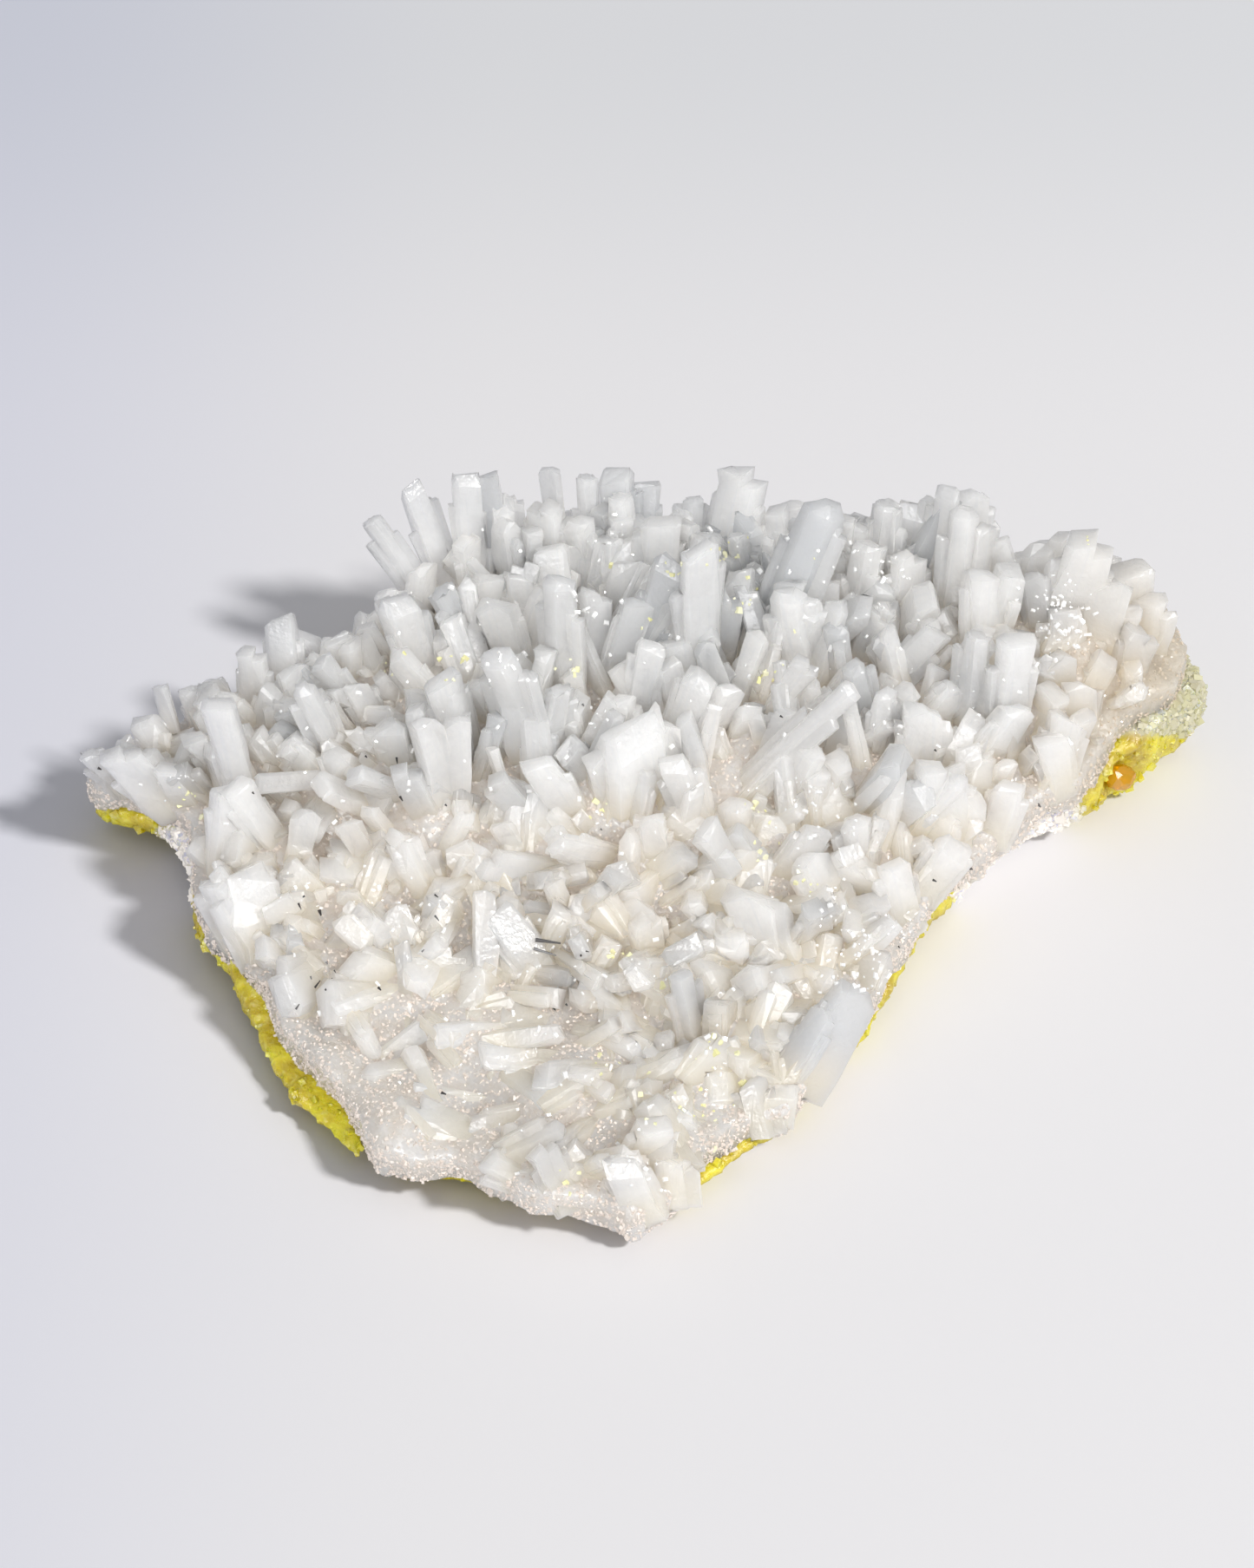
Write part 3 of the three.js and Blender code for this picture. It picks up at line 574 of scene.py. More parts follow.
def foot_on_crust(px, py):
    foot = point_at_height(px, py, CRUST_BASE_HEIGHT)
    for _ in range(SIGHT_STEPS):
        foot = point_at_height(px, py, top_at(foot))
    while not within_rim(foot.x, foot.y, FOOTING):
        foot *= FOOT_STEP
    foot.z = top_at(foot)
    return foot


def in_front(y):
    """How far into the front part of the plate a place is, from 0 to 1."""
    return how_far(y, FRONT_LIES_LOW["from_y"], FRONT_LIES_LOW["to_y"])


def add_bundle(root, tip, width, roll, slant, item, least_tone=0):
    """A crystal, or for a wide one the laths that it is made of."""
    tone = least_tone + (1 - least_tone) * draw(item, 11)
    forms = TALL_FORMS if (tip - root).length > TALL else SHORT_FORMS
    if width < WIDE:
        kind = NARROW_KINDS[int(len(NARROW_KINDS) * draw(item, 12))]
        add_crystal(forms[kind], root, tip, width, roll, slant, tone)
        return
    side = side_of((tip - root).normalized(), roll)
    hand = 1 if draw(item, 14) > 0.5 else -1
    for place, (offset, share, reach) in enumerate(LATHS):
        kind = LATH_KINDS[int(len(LATH_KINDS) * draw(item + 0.1 * place, 13))]
        reach *= 1 - LATH_SPREAD["shorter"] * draw(item, 20 + place) * (place > 0)
        shift = side * (offset * width * hand)
        splay = shift * (LATH_SPREAD["splay"] * (draw(item, 30 + place) - LATH_SPREAD["inwards"]))
        lath_root = root + shift * LATH_SPREAD["root"]
        lath_tip = root + (tip - root) * reach + shift + splay
        lath_roll = roll + LATH_SPREAD["roll"] * (draw(item, 40 + place) - 0.5)
        lath_tone = np.clip(tone + LATH_SPREAD["tone"] * (draw(item, 50 + place) - 0.5), *TONE_ENDS)
        add_crystal(forms[kind], lath_root, lath_tip, width * share, lath_roll, slant, lath_tone)


item = 0
milky_rows = [(rows, 0) for rows in (LEFT_CRYSTALS, MIDDLE_CRYSTALS, RIGHT_CRYSTALS, FRONT_CRYSTALS)]
for rows, least_tone in milky_rows + [(CLEAR_CRYSTALS, CLEAR_TONE)]:
    for place, (foot_px, foot_py, tip_px, tip_py, width_px, *steepness) in enumerate(rows):
        foot = foot_on_crust(foot_px, foot_py)
        lowness = in_front(foot.y)
        width = width_px * (foot - EYE).length / FOCAL_PX
        sight = point_at_height(tip_px, tip_py, foot.z) - foot
        across = sight.dot(VIEW_RIGHT)
        up = sight.dot(VIEW_UP)
        seen = math.hypot(across, up)
        usual = OUT_OF_VIEW["least"] + OUT_OF_VIEW["spread"] * draw(place, width_px)
        usual -= foot.y / OUT_OF_VIEW["back_distance"] + FRONT_LIES_LOW["out"] * lowness
        least_rise = OUT_OF_VIEW["clear"] + (FRONT_LIES_LOW["clear"] - OUT_OF_VIEW["clear"]) * lowness
        out = max(seen * (steepness[0] if steepness else usual), least_rise * seen - up)
        lean = VIEW_RIGHT * across + VIEW_UP * up + VIEW_BACK * out
        foot.z -= FRONT_LIES_LOW["sunk"] * lowness
        roll = (draw(place, tip_px) - 0.5) * ROLL_SPREAD
        slant = (draw(place, foot_px) - 0.5) * SLANT_SPREAD
        root = foot - lean.normalized() * ROOT_DEPTH
        add_bundle(root, foot + lean, width, roll, slant, item, least_tone)
        item += 1


# The crystals that fill the plate between those, down to about 1 mm wide, lean every way. The
# ones at the back, which the photograph doesn't show, lean out over the edge.
FILLERS_MM = [  # count, least width and more, least length and more, lean
    (1000, 3.2, 2.8, 8, 8, 0.9), (700, 1.9, 1.5, 4.5, 6, 1.2), (600, 1, 1, 2, 3.5, 1.3),
]
FILLER_ITEMS = 2000  # sets the kinds of fillers apart in the draws
FILLER_REACH = 80 * MM
FILLER_INSET = 0.02  # for each mm of width
FILLER_SKEW = 1.5  # a higher one makes more of them near the least size
LEAST_SLOPE = 0.15
TIP_WITHIN = 0.98  # of the way out to the rim, where a crystal lies low
LONG_ON_MOUND = {"centre_mm": (4, 26), "spread_mm": (60, 30), "least": 0.55, "more": 0.6}
FRONT_FILLERS = {"wider": 0.25, "shorter": 0.2, "slope": 1.8}
LOW_END = {"from_x": 44 * MM, "to_x": 62 * MM, "shorter": 0.5}  # the right end is nearly bare crust
BARE_MM = {"centre": (-28, -36), "spread": (30, 22)}  # where the crust shows most
FAN = {  # crystals lean away from here, and so backwards and to the sides
    "from_y": -25 * MM, "sideways": 1.6, "spread": 3.2, "more_in_front": 3,
}
LOW_BLOCKS = {
    "count": 620, "items": 9000, "within": 0.97, "from": 0.3, "sunk": 1.1 * MM, "width": 4 * MM,
    "length": 4.5 * MM, "longer": 1.1, "slope": 5,
}
BLOCK_SPREAD = {"least_sunk": 0.6, "least_width": 0.7, "more": 0.8}
GOLDEN_ANGLE = math.pi * (3 - math.sqrt(5))
BACK_ROWS = [  # from and to, as shares of the way round the rim, count, inset, lean, length, width
    (0.65, 0.865, 15, 0.92, 0.6, 10 * MM, 5.2 * MM), (0.66, 0.86, 12, 0.84, 0.4, 12 * MM, 5.8 * MM),
    (0.87, 0.97, 8, 0.9, 0.6, 5 * MM, 4.4 * MM), (0.67, 0.85, 34, 0.97, 0.15, 14.5 * MM, 4.8 * MM),
]
BACK_ITEMS = 1000
ROW_ITEMS = 100
BACK_SPREAD = {"place": 0.6, "inset": 0.06, "sideways": 0.6, "heading": 0.9, "size": 0.5, "lean": 0.5}


def add_leaning(foot, heading, slope, length, width, item):
    lean = Vector((slope * math.cos(heading), slope * math.sin(heading), 1)).normalized()
    roll = math.pi * draw(item, 3)
    slant = SLANT_SPREAD * (draw(item, 4) - 0.5)
    add_bundle(foot - lean * (ROOT_DEPTH / 2), foot + lean * length, width, roll, slant, item)


def on_spiral(place, count, turn=0):
    """One of some places that fill a round area evenly."""
    heading = place * GOLDEN_ANGLE + turn
    out = math.sqrt((place + 0.5) / count) * FILLER_REACH
    return Vector((out * math.cos(heading), out * math.sin(heading), 0))


def bell(place, centre_mm, spread_mm):
    """1 at a centre, falling off all round it."""
    x, y = [(at / MM - middle) / spread for at, middle, spread in zip(place.xy, centre_mm, spread_mm)]
    return math.exp(-x ** 2 - y ** 2)


rim_lengths = np.cumsum([0] + [(b - a).length for a, b in zip(crust_rim, crust_rim[1:] + crust_rim[:1])])
for row, (start, end, count, inset, lean, length, width) in enumerate(BACK_ROWS):
    for place in range(count):
        item = BACK_ITEMS + ROW_ITEMS * row + place
        share = start + (end - start) * (place + BACK_SPREAD["place"] * draw(item, 5)) / count
        nearest = int(np.searchsorted(rim_lengths, share * rim_lengths[-1])) - 1
        edge = crust_rim[nearest].lerp(crust_rim[(nearest + 1) % len(crust_rim)], draw(item, 15))
        foot = edge * (inset - BACK_SPREAD["inset"] * draw(item, 6))
        foot.z = top_at(foot)
        outwards = math.atan2(edge.y, BACK_SPREAD["sideways"] * edge.x)
        heading = outwards + BACK_SPREAD["heading"] * (draw(item, 7) - 0.5)
        slope = lean * (BACK_SPREAD["lean"] + draw(item, 8))
        size = 1 + BACK_SPREAD["size"] * (draw(item, 1) - 0.5)
        add_leaning(foot, heading, slope, length * size, width * size, item)

for kind, (count, least_width, more_width, least_length, more_length, low_lean) in enumerate(FILLERS_MM):
    for place in range(count):
        item = FILLER_ITEMS * (kind + 1) + place
        foot = on_spiral(place, count, kind)
        if not within_rim(foot.x, foot.y, 1 - FILLER_INSET * least_width):
            continue
        if draw(item, 16) < bell(foot, BARE_MM["centre"], BARE_MM["spread"]):
            continue
        lowness = in_front(foot.y)
        foot.z = top_at(foot) - FRONT_LIES_LOW["sunk"] * lowness
        on_mound = bell(foot, LONG_ON_MOUND["centre_mm"], LONG_ON_MOUND["spread_mm"])
        length = least_length + more_length * draw(item, 1) ** FILLER_SKEW
        length *= LONG_ON_MOUND["least"] + LONG_ON_MOUND["more"] * on_mound
        length *= MM
        length *= 1 - FRONT_FILLERS["shorter"] * lowness
        length *= 1 - LOW_END["shorter"] * how_far(foot.x, LOW_END["from_x"], LOW_END["to_x"])
        width = (least_width + more_width * draw(item, 2) ** FILLER_SKEW) * MM
        width *= 1 + FRONT_FILLERS["wider"] * lowness
        spread = FAN["spread"] + FAN["more_in_front"] * lowness
        heading = math.atan2(foot.y - FAN["from_y"], FAN["sideways"] * foot.x)
        heading += spread * (draw(item, 10) - 0.5)
        slope = LEAST_SLOPE + low_lean * draw(item, 9) + FRONT_FILLERS["slope"] * lowness * draw(item, 17)
        reach = length * slope / math.hypot(slope, 1)
        tip_x = foot.x + reach * math.cos(heading)
        tip_y = foot.y + reach * math.sin(heading)
        if lowness and not within_rim(tip_x, tip_y, TIP_WITHIN):
            heading += math.pi
        add_leaning(foot, heading, slope, length, width, item)

for place in range(LOW_BLOCKS["count"]):
    item = LOW_BLOCKS["items"] + place
    foot = on_spiral(place, LOW_BLOCKS["count"])
    length = LOW_BLOCKS["length"] * (1 + LOW_BLOCKS["longer"] * draw(item, 1))
    heading = 2 * math.pi * draw(item, 10)
    tip = foot + Vector((math.cos(heading), math.sin(heading), 0)) * length
    on_crust = all(within_rim(end.x, end.y, LOW_BLOCKS["within"]) for end in (foot, tip))
    if in_front(foot.y) > LOW_BLOCKS["from"] and on_crust:
        sunk = BLOCK_SPREAD["least_sunk"] + BLOCK_SPREAD["more"] * draw(item, 5)
        foot.z = top_at(foot) - LOW_BLOCKS["sunk"] * sunk
        width = LOW_BLOCKS["width"] * (BLOCK_SPREAD["least_width"] + BLOCK_SPREAD["more"] * draw(item, 2))
        add_leaning(foot, heading, LOW_BLOCKS["slope"], length, width, item)

bpy.ops.object.select_all(action="DESELECT")
druse.select_set(True)
finish_with(
    druse, "BOOLEAN", operation="UNION", operand_type="COLLECTION", collection=crystals, solver="MANIFOLD"
)
for crystal in list(crystals.objects):
    bpy.data.objects.remove(crystal)
growth_of_face = np.empty(len(druse.data.polygons))
druse.data.attributes["growth"].data.foreach_get("value", growth_of_face)
druse.data.polygons.foreach_set("use_smooth", growth_of_face < 0.5)


# Celestite is clear to milky, with a glassy lustre. Its prisms are milky with cloudy veils and
# fine lengthwise growth lines, and the crust is an off-white mass of grains like sugar.
VEIL_SIZE = 3.5 * MM
FROST_SIZE = 0.8 * MM
GRAIN_SIZE = 0.55 * MM
LINE_SPACING_MM = 0.8  # real growth lines are finer, and these are as coarse as it takes to show
LINE_STRETCH = 0.04  # how slowly a growth line changes along a crystal, over across it
FEET_CREAM_AND_SHADE_MM = 8  # how far up a crystal the cream of the crust reaches, which is also painted shade where crystals meet the crust
LIGHT_REACH = 16 * MM  # how far light spreads in the milky crystal
CELESTITE_IOR = 1.62
BEIGE_END = {"from_x": 46 * MM, "to_x": 70 * MM, "colour": "#cdbfab"}

# A Map Range node takes the range from input 1 to 2 to the one from 3 to 4, and a Mix node goes
# from colour 6 to colour 7
SMOOTH = {"interpolation_type": "SMOOTHSTEP"}
COLOURS = {"output": 2, "data_type": "RGBA"}


def linear(hex_colour):
    """An sRGB hex colour as linear red, green, blue and alpha."""
    parts = [int(hex_colour[place:place + 2], 16) / 255 for place in (1, 3, 5)]
    return [part / 12.92 if part <= 0.04045 else ((part + 0.055) / 1.055) ** 2.4 for part in parts] + [1]


def add_node(material, kind, inputs=None, output=0, **settings):
    """Add a node, set it up, set or link its inputs, and give one of its outputs."""
    tree = material.node_tree
    made = tree.nodes.new(f"ShaderNode{kind}")
    for setting, value in settings.items():
        setattr(made, setting, value)
    for name, value in (inputs or {}).items():
        if isinstance(value, bpy.types.NodeSocket):
            tree.links.new(value, made.inputs[name])
        else:
            made.inputs[name].default_value = value
    return made.outputs[output] if made.outputs else made


def new_material(name):
    material = bpy.data.materials.new(name)
    material.use_nodes = True
    material.node_tree.nodes.clear()
    return material


def beige_at_end(material, colour, share):
    """A colour that turns beige towards the right end of the specimen."""
    eastward = add_node(material, "SeparateXYZ", {0: add_node(material, "TexCoord", output="Object")})
    at_end = add_node(material, "MapRange", {
        0: eastward, 1: BEIGE_END["from_x"], 2: BEIGE_END["to_x"], 3: 0, 4: share,
    }, **SMOOTH)
    return add_node(material, "Mix", {0: at_end, 6: colour, 7: linear(BEIGE_END["colour"])}, **COLOURS)


def dress(piece, material, **shaders):
    """Finish a material with its shaders and give it to a piece."""
    add_node(material, "OutputMaterial", shaders)
    piece.data.materials.clear()
    piece.data.materials.append(material)


celestite = new_material("milky_glassy_celestite")
place = add_node(celestite, "TexCoord", output="Object")
growth = add_node(celestite, "Attribute", output="Fac", attribute_name="growth")
tone = add_node(celestite, "Attribute", output="Fac", attribute_name="tone")
across = add_node(celestite, "SeparateXYZ", {0: add_node(celestite, "UVMap", uv_map="UVMap")})
height = across.node.outputs["Y"]
slow_height = add_node(celestite, "Math", {0: height, 1: LINE_STRETCH}, operation="MULTIPLY")
lines_at = add_node(celestite, "CombineXYZ", {0: across, 1: slow_height})
lines = add_node(celestite, "TexNoise", {"Vector": lines_at, "Scale": 1 / LINE_SPACING_MM, "Detail": 2})
veils = add_node(celestite, "TexNoise", {"Vector": place, "Scale": 1 / VEIL_SIZE, "Detail": 4})
frost = add_node(celestite, "TexNoise", {"Vector": place, "Scale": 1 / FROST_SIZE, "Detail": 3})

veiled = add_node(celestite, "MapRange", {0: veils, 1: 0.35, 2: 0.65}, **SMOOTH)
milk = add_node(celestite, "Mix", {0: veiled, 6: linear("#fbf9f5"), 7: linear("#f1efec")}, **COLOURS)
for source, start, end, at_start, at_end, tint in (
    (lines, 0.5, 0.68, 0, 0.5, "#ededed"),  # growth lines
    (tone, 0.6, 0.97, 0, 0.8, "#e0e3e6"),  # crystals that are less milky
    (tone, 0.9, 0.95, 0, 0.8, "#cbced2"),  # and those with so few veils that they are clear, painted grey for the shade seen through them
    (height, -1, FEET_CREAM_AND_SHADE_MM, 0.8, 0, "#efe0c9"),  # creamy feet, partly the crust's own cream and partly painted shade in the gaps between crystals
):
    share = add_node(
        celestite, "MapRange", {0: source, 1: start, 2: end, 3: at_start, 4: at_end}, **SMOOTH
    )
    milk = add_node(celestite, "Mix", {0: share, 6: milk, 7: linear(tint)}, **COLOURS)
milk = beige_at_end(celestite, milk, share=0.45)
sugar = add_node(celestite, "Mix", {0: veiled, 6: linear("#f2ebe5"), 7: linear("#e6dacf")}, **COLOURS)
stain = add_node(celestite, "MapRange", {0: frost, 1: 0.5, 2: 0.8, 3: 0, 4: 0.4}, **SMOOTH)
sugar = add_node(celestite, "Mix", {0: stain, 6: sugar, 7: linear("#dccdb8")}, **COLOURS)
sugar = beige_at_end(celestite, sugar, share=0.9)
colour = add_node(celestite, "Mix", {0: growth, 6: sugar, 7: milk}, **COLOURS)

# The crust's grains have flat faces that lean every way, and the prisms are lined and frosted
cells = add_node(celestite, "TexVoronoi", {"Vector": place, "Scale": 1 / GRAIN_SIZE}, "Position")
in_cells = add_node(celestite, "VectorMath", {0: place, "Scale": 1 / GRAIN_SIZE}, operation="SCALE")
from_middle = add_node(celestite, "VectorMath", {0: in_cells, 1: cells}, operation="SUBTRACT")
tilt = add_node(
    celestite, "VectorMath", {0: cells.node.outputs["Color"], 1: (0.5, 0.5, 0.5)}, operation="SUBTRACT"
)
facets = add_node(celestite, "VectorMath", {0: from_middle, 1: tilt}, "Value", operation="DOT_PRODUCT")
crust_bump = add_node(celestite, "Bump", {"Height": facets, "Strength": 0.5, "Distance": GRAIN_SIZE})
line_bump = add_node(celestite, "Bump", {"Height": lines, "Strength": 0.14, "Distance": 0.1 * MM})
line_bump = add_node(celestite, "Bump", {
    "Height": frost, "Strength": 0.5, "Distance": 0.35 * MM, "Normal": line_bump,
})
normal = add_node(celestite, "Mix", {0: growth, 4: crust_bump, 5: line_bump}, 1, data_type="VECTOR")
clear = add_node(celestite, "MapRange", {0: tone, 1: 0.55, 2: 1, 3: 0.02, 4: 0.12}, **SMOOTH)
clear = add_node(celestite, "Math", {0: clear, 1: growth}, operation="MULTIPLY")
gloss = add_node(celestite, "MapRange", {0: frost, 1: 0.3, 2: 0.7, 3: 0.3, 4: 0.48}, **SMOOTH)
celestite_shader = add_node(celestite, "BsdfPrincipled", {
    "Base Color": colour,
    "Roughness": gloss,
    "IOR": CELESTITE_IOR,
    "Transmission Weight": clear,
    "Subsurface Weight": 1,
    "Subsurface Radius": (1, 0.97, 0.92),
    "Subsurface Scale": LIGHT_REACH,
    "Coat Weight": 0.5,
    "Coat Roughness": 0.09,
    "Coat IOR": CELESTITE_IOR,
    "Normal": normal,
    "Coat Normal": normal,
})
dress(druse, celestite, Surface=celestite_shader)
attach(druse, "root")
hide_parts("celestite_druse")


# The smallest crystals are grains like sugar, 0.2 to 0.6 mm long, that coat the crust and its
# broken edge. They are many copies of one grain, joined in one mesh.
SUGAR = {  # sizes in mm, and shares of a grain's length
    "count": 14000, "seed": 5, "least": 0.18, "spread": 0.45, "flatness": 0.85, "sunk": 0.7, "lean": 0.6,
}
SUGAR_FRONT = {"y": -5 * MM, "soft": 12 * MM}
CRUST_EDGE = {"upward": 0.5, "below": 14 * MM}
SUGAR_SHARES = {"anywhere": 0.5, "front": 0.8, "edge": 1.2, "least_upward": -0.35}
GRAIN_WIDTHS = (0.6, 1.1)  # least and most, over the length
LEAST_AREA = 1e-15


def pick_places(shape, shares, grain):
    """Random places on the faces of a shape, with the outward direction at each."""
    shape.data.calc_loop_triangles()
    corners = np.empty(3 * len(shape.data.loop_triangles), dtype=int)
    shape.data.loop_triangles.foreach_get("vertices", corners)
    faces = np.empty(len(shape.data.loop_triangles), dtype=int)
    shape.data.loop_triangles.foreach_get("polygon_index", faces)
    a, b, c = points_of(shape)[corners.reshape(-1, 3)].transpose(1, 0, 2)
    outwards = np.cross(b - a, c - a)
    area = np.linalg.norm(outwards, axis=1)
    outwards /= np.maximum(area, LEAST_AREA)[:, None]
    chance = area * shares(faces, (a + b + c) / 3, outwards)
    random = np.random.default_rng(grain["seed"])
    picked = random.choice(len(chance), size=grain["count"], p=chance / chance.sum())
    u, v = random.random((2, grain["count"], 1))
    u, v = np.where(u + v > 1, 1 - u, u), np.where(u + v > 1, 1 - v, v)
    return a[picked] + (b - a)[picked] * u + (c - a)[picked] * v, outwards[picked], random


def add_piece(name, mesh):
    piece = bpy.data.objects.new(name, mesh)
    bpy.context.scene.collection.objects.link(piece)
    return piece


def add_grains(name, form, places, outwards, random, grain):
    """A piece of turned and sized copies of one grain, with a tone for each of them."""
    count = len(places)
    sizes = (grain["least"] + grain["spread"] * random.random(count) ** 2) * MM
    along = outwards + grain["lean"] * random.normal(size=(count, 3))
    along /= np.linalg.norm(along, axis=1)[:, None]
    side = np.cross(along, random.normal(size=(count, 3)))
    side /= np.linalg.norm(side, axis=1)[:, None]
    turns = np.stack([side, np.cross(along, side), along], axis=1)
    shape = form["corners"] * (1, grain["flatness"], 1) + (0, 0, 1 - grain["sunk"])
    widths = [sizes * random.uniform(*GRAIN_WIDTHS, count) for _ in range(2)]
    stretch = np.stack([*widths, sizes], axis=1)
    corners = places[:, None] + np.einsum("nci,nij->ncj", shape[None] * stretch[:, None], turns)
    steps = np.arange(count)[:, None, None] * len(shape)
    quads = (np.array(form["faces"])[None] + steps).reshape(-1, 4)
    mesh = bpy.data.meshes.new(name)
    mesh.from_pydata(corners.reshape(-1, 3), [], quads.tolist())
    mesh.shade_flat()
    tones = np.repeat(random.random(count), len(form["faces"]))
    mesh.attributes.new("tone", "FLOAT", "FACE").data.foreach_set("value", tones)
    return add_piece(name, mesh)


def grain_form():
    block = new_block(flatness=1)
    pick_top(block)
    bpy.ops.transform.resize(value=(0.62, 0.7, 1))
    return block


GRAIN = read_form(grain_form())


def sugar_shares(faces, middles, outwards):
    """Grains coat the crust, more so its front and its edge, and none sit on the prisms."""
    front = 1 / (1 + np.exp((middles[:, 1] - SUGAR_FRONT["y"]) / SUGAR_FRONT["soft"]))
    edge = (np.abs(outwards[:, 2]) < CRUST_EDGE["upward"]) * (middles[:, 2] < CRUST_EDGE["below"])
    on_crust = SUGAR_SHARES["anywhere"] + SUGAR_SHARES["front"] * front + SUGAR_SHARES["edge"] * edge
    on_crust *= growth_of_face[faces] < 0.5
    return on_crust * (outwards[:, 2] > SUGAR_SHARES["least_upward"])


places, outwards, random = pick_places(druse, sugar_shares, SUGAR)
sugar_grains = add_grains("celestite_sugar_grains", GRAIN, places, outwards, random, SUGAR)

# Fine celestite looks off-white like raw sugar, and each grain is a little lighter or darker
sugar_look = new_material("fine_grained_celestite")
grain_tone = add_node(sugar_look, "Attribute", output="Fac", attribute_name="tone")
grain_colour = add_node(
    sugar_look, "Mix", {0: grain_tone, 6: linear("#e8dfd7"), 7: linear("#dacec4")}, **COLOURS
)
grain_colour = beige_at_end(sugar_look, grain_colour, share=0.9)
grain_gloss = add_node(sugar_look, "MapRange", {0: grain_tone, 3: 0.3, 4: 0.5})
sugar_shader = add_node(sugar_look, "BsdfPrincipled", {
    "Base Color": grain_colour, "Roughness": grain_gloss, "IOR": CELESTITE_IOR,
})
dress(sugar_grains, sugar_look, Surface=sugar_shader)
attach(sugar_grains, "root")


# The sulfur under the crust is a lumpy mass of native sulfur, waxy and slightly see-through, with
# a rough broken flank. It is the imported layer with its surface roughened, flat where it rests.
SULFUR_VOXEL = 1 * MM
SULFUR_ROUGHNESS_MM = [(6, 1.2), (2.4, 1), (1.1, 0.5)]
SAME_PLACE = 0.001 * MM
AMBER_POCKET = {"radius": 5 * MM, "push": np.array((-2.2, 1.5, 0)) * MM}  # into the flank

sulfur = add_piece("native_sulfur_layer", frame["nodes"]["sulfur_layer"].data.copy())
bpy.ops.object.select_all(action="DESELECT")
sulfur.select_set(True)
bpy.context.view_layer.objects.active = sulfur
bpy.ops.object.mode_set(mode="EDIT")
bpy.ops.mesh.select_all(action="SELECT")
bpy.ops.mesh.remove_doubles(threshold=SAME_PLACE)
bpy.ops.object.mode_set(mode="OBJECT")
finish_with(sulfur, "REMESH", mode="VOXEL", voxel_size=SULFUR_VOXEL)
roughen(sulfur, SULFUR_ROUGHNESS_MM)
points = points_of(sulfur)
amber_low, amber_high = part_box("amber_sulfur_crystal")
amber_middle = np.array((amber_low + amber_high) / 2)
near = np.linalg.norm(points - amber_middle, axis=1)
points += np.maximum(0, 1 - near / AMBER_POCKET["radius"])[:, None] * AMBER_POCKET["push"]
points[:, 2] = np.maximum(points[:, 2], 0)
move_points(sulfur, points)
sulfur.data.polygons.foreach_set("use_smooth", [True] * len(sulfur.data.polygons))

# Native sulfur is bright lemon yellow where it is clean, darker and browner in patches, with pale
# specks, and it has a waxy shine
PATCH_SIZE = 5 * MM
SPECK_SIZE = 0.9 * MM
SULFUR_IOR = 1.96
PALE_END_MM = {"from_x": 60, "soft": 3, "y_and_height": 36.5, "edge": 1.5}  # where celestite coats it
COATED_PLACES = [  # and other places, with their radius
    (point_at_height(204, 1010, 2 * MM), 8 * MM), (point_at_height(1160, 985, 2 * MM), 13 * MM),
]
COAT_FADE = 2 * MM
COAT_WHITE = "#f1ece6"


def at_right_end(material):
    """0 to the left of the coated end of the sulfur and 1 on it."""
    eastward = add_node(material, "SeparateXYZ", {0: add_node(material, "TexCoord", output="Object")})
    from_x, soft = PALE_END_MM["from_x"], PALE_END_MM["soft"]
    return add_node(
        material, "MapRange", {0: eastward, 1: (from_x - soft) * MM, 2: (from_x + soft) * MM}, **SMOOTH
    )


sulfur_look = new_material("waxy_native_sulfur")
place = add_node(sulfur_look, "TexCoord", output="Object")
patches = add_node(sulfur_look, "TexNoise", {"Vector": place, "Scale": 1 / PATCH_SIZE, "Detail": 4})
specks = add_node(sulfur_look, "TexNoise", {"Vector": place, "Scale": 1 / SPECK_SIZE, "Detail": 3})
patchy = add_node(sulfur_look, "MapRange", {0: patches, 1: 0.3, 2: 0.7}, **SMOOTH)
yellow = add_node(sulfur_look, "Mix", {0: patchy, 6: linear("#b89d06"), 7: linear("#ecdf28")}, **COLOURS)
speckled = add_node(sulfur_look, "MapRange", {0: specks, 1: 0.5, 2: 0.75, 3: 0, 4: 0.5}, **SMOOTH)
yellow = add_node(sulfur_look, "Mix", {0: speckled, 6: yellow, 7: linear("#eee68c")}, **COLOURS)
y_and_height = add_node(
    sulfur_look, "VectorMath", {0: place, 1: (0, 1 / MM, 1 / MM)}, "Value", operation="DOT_PRODUCT"
)
middle, edge = PALE_END_MM["y_and_height"], PALE_END_MM["edge"]
behind = add_node(sulfur_look, "MapRange", {0: y_and_height, 1: middle - edge, 2: middle + edge}, **SMOOTH)
at_end = at_right_end(sulfur_look)
pale = add_node(sulfur_look, "Math", {0: behind, 1: at_end}, operation="MULTIPLY")
for centre, radius in COATED_PLACES:
    away = add_node(sulfur_look, "VectorMath", {0: place, 1: centre}, "Value", operation="DISTANCE")
    coated = add_node(sulfur_look, "MapRange", {0: away, 1: radius, 2: radius - COAT_FADE}, **SMOOTH)
    pale = add_node(sulfur_look, "Math", {0: pale, 1: coated}, operation="MAXIMUM")
coat = add_node(sulfur_look, "Mix", {0: patchy, 6: linear("#dbd6c4"), 7: linear("#cfcda2")}, **COLOURS)
coat = add_node(sulfur_look, "Mix", {0: at_end, 6: linear(COAT_WHITE), 7: coat}, **COLOURS)
sulfur_colour = add_node(sulfur_look, "Mix", {0: pale, 6: yellow, 7: coat}, **COLOURS)
waxy = add_node(sulfur_look, "MapRange", {0: specks, 1: 0.3, 2: 0.7, 3: 0.25, 4: 0.5}, **SMOOTH)
pits = add_node(sulfur_look, "Bump", {"Height": specks, "Strength": 0.7, "Distance": 0.6 * MM})
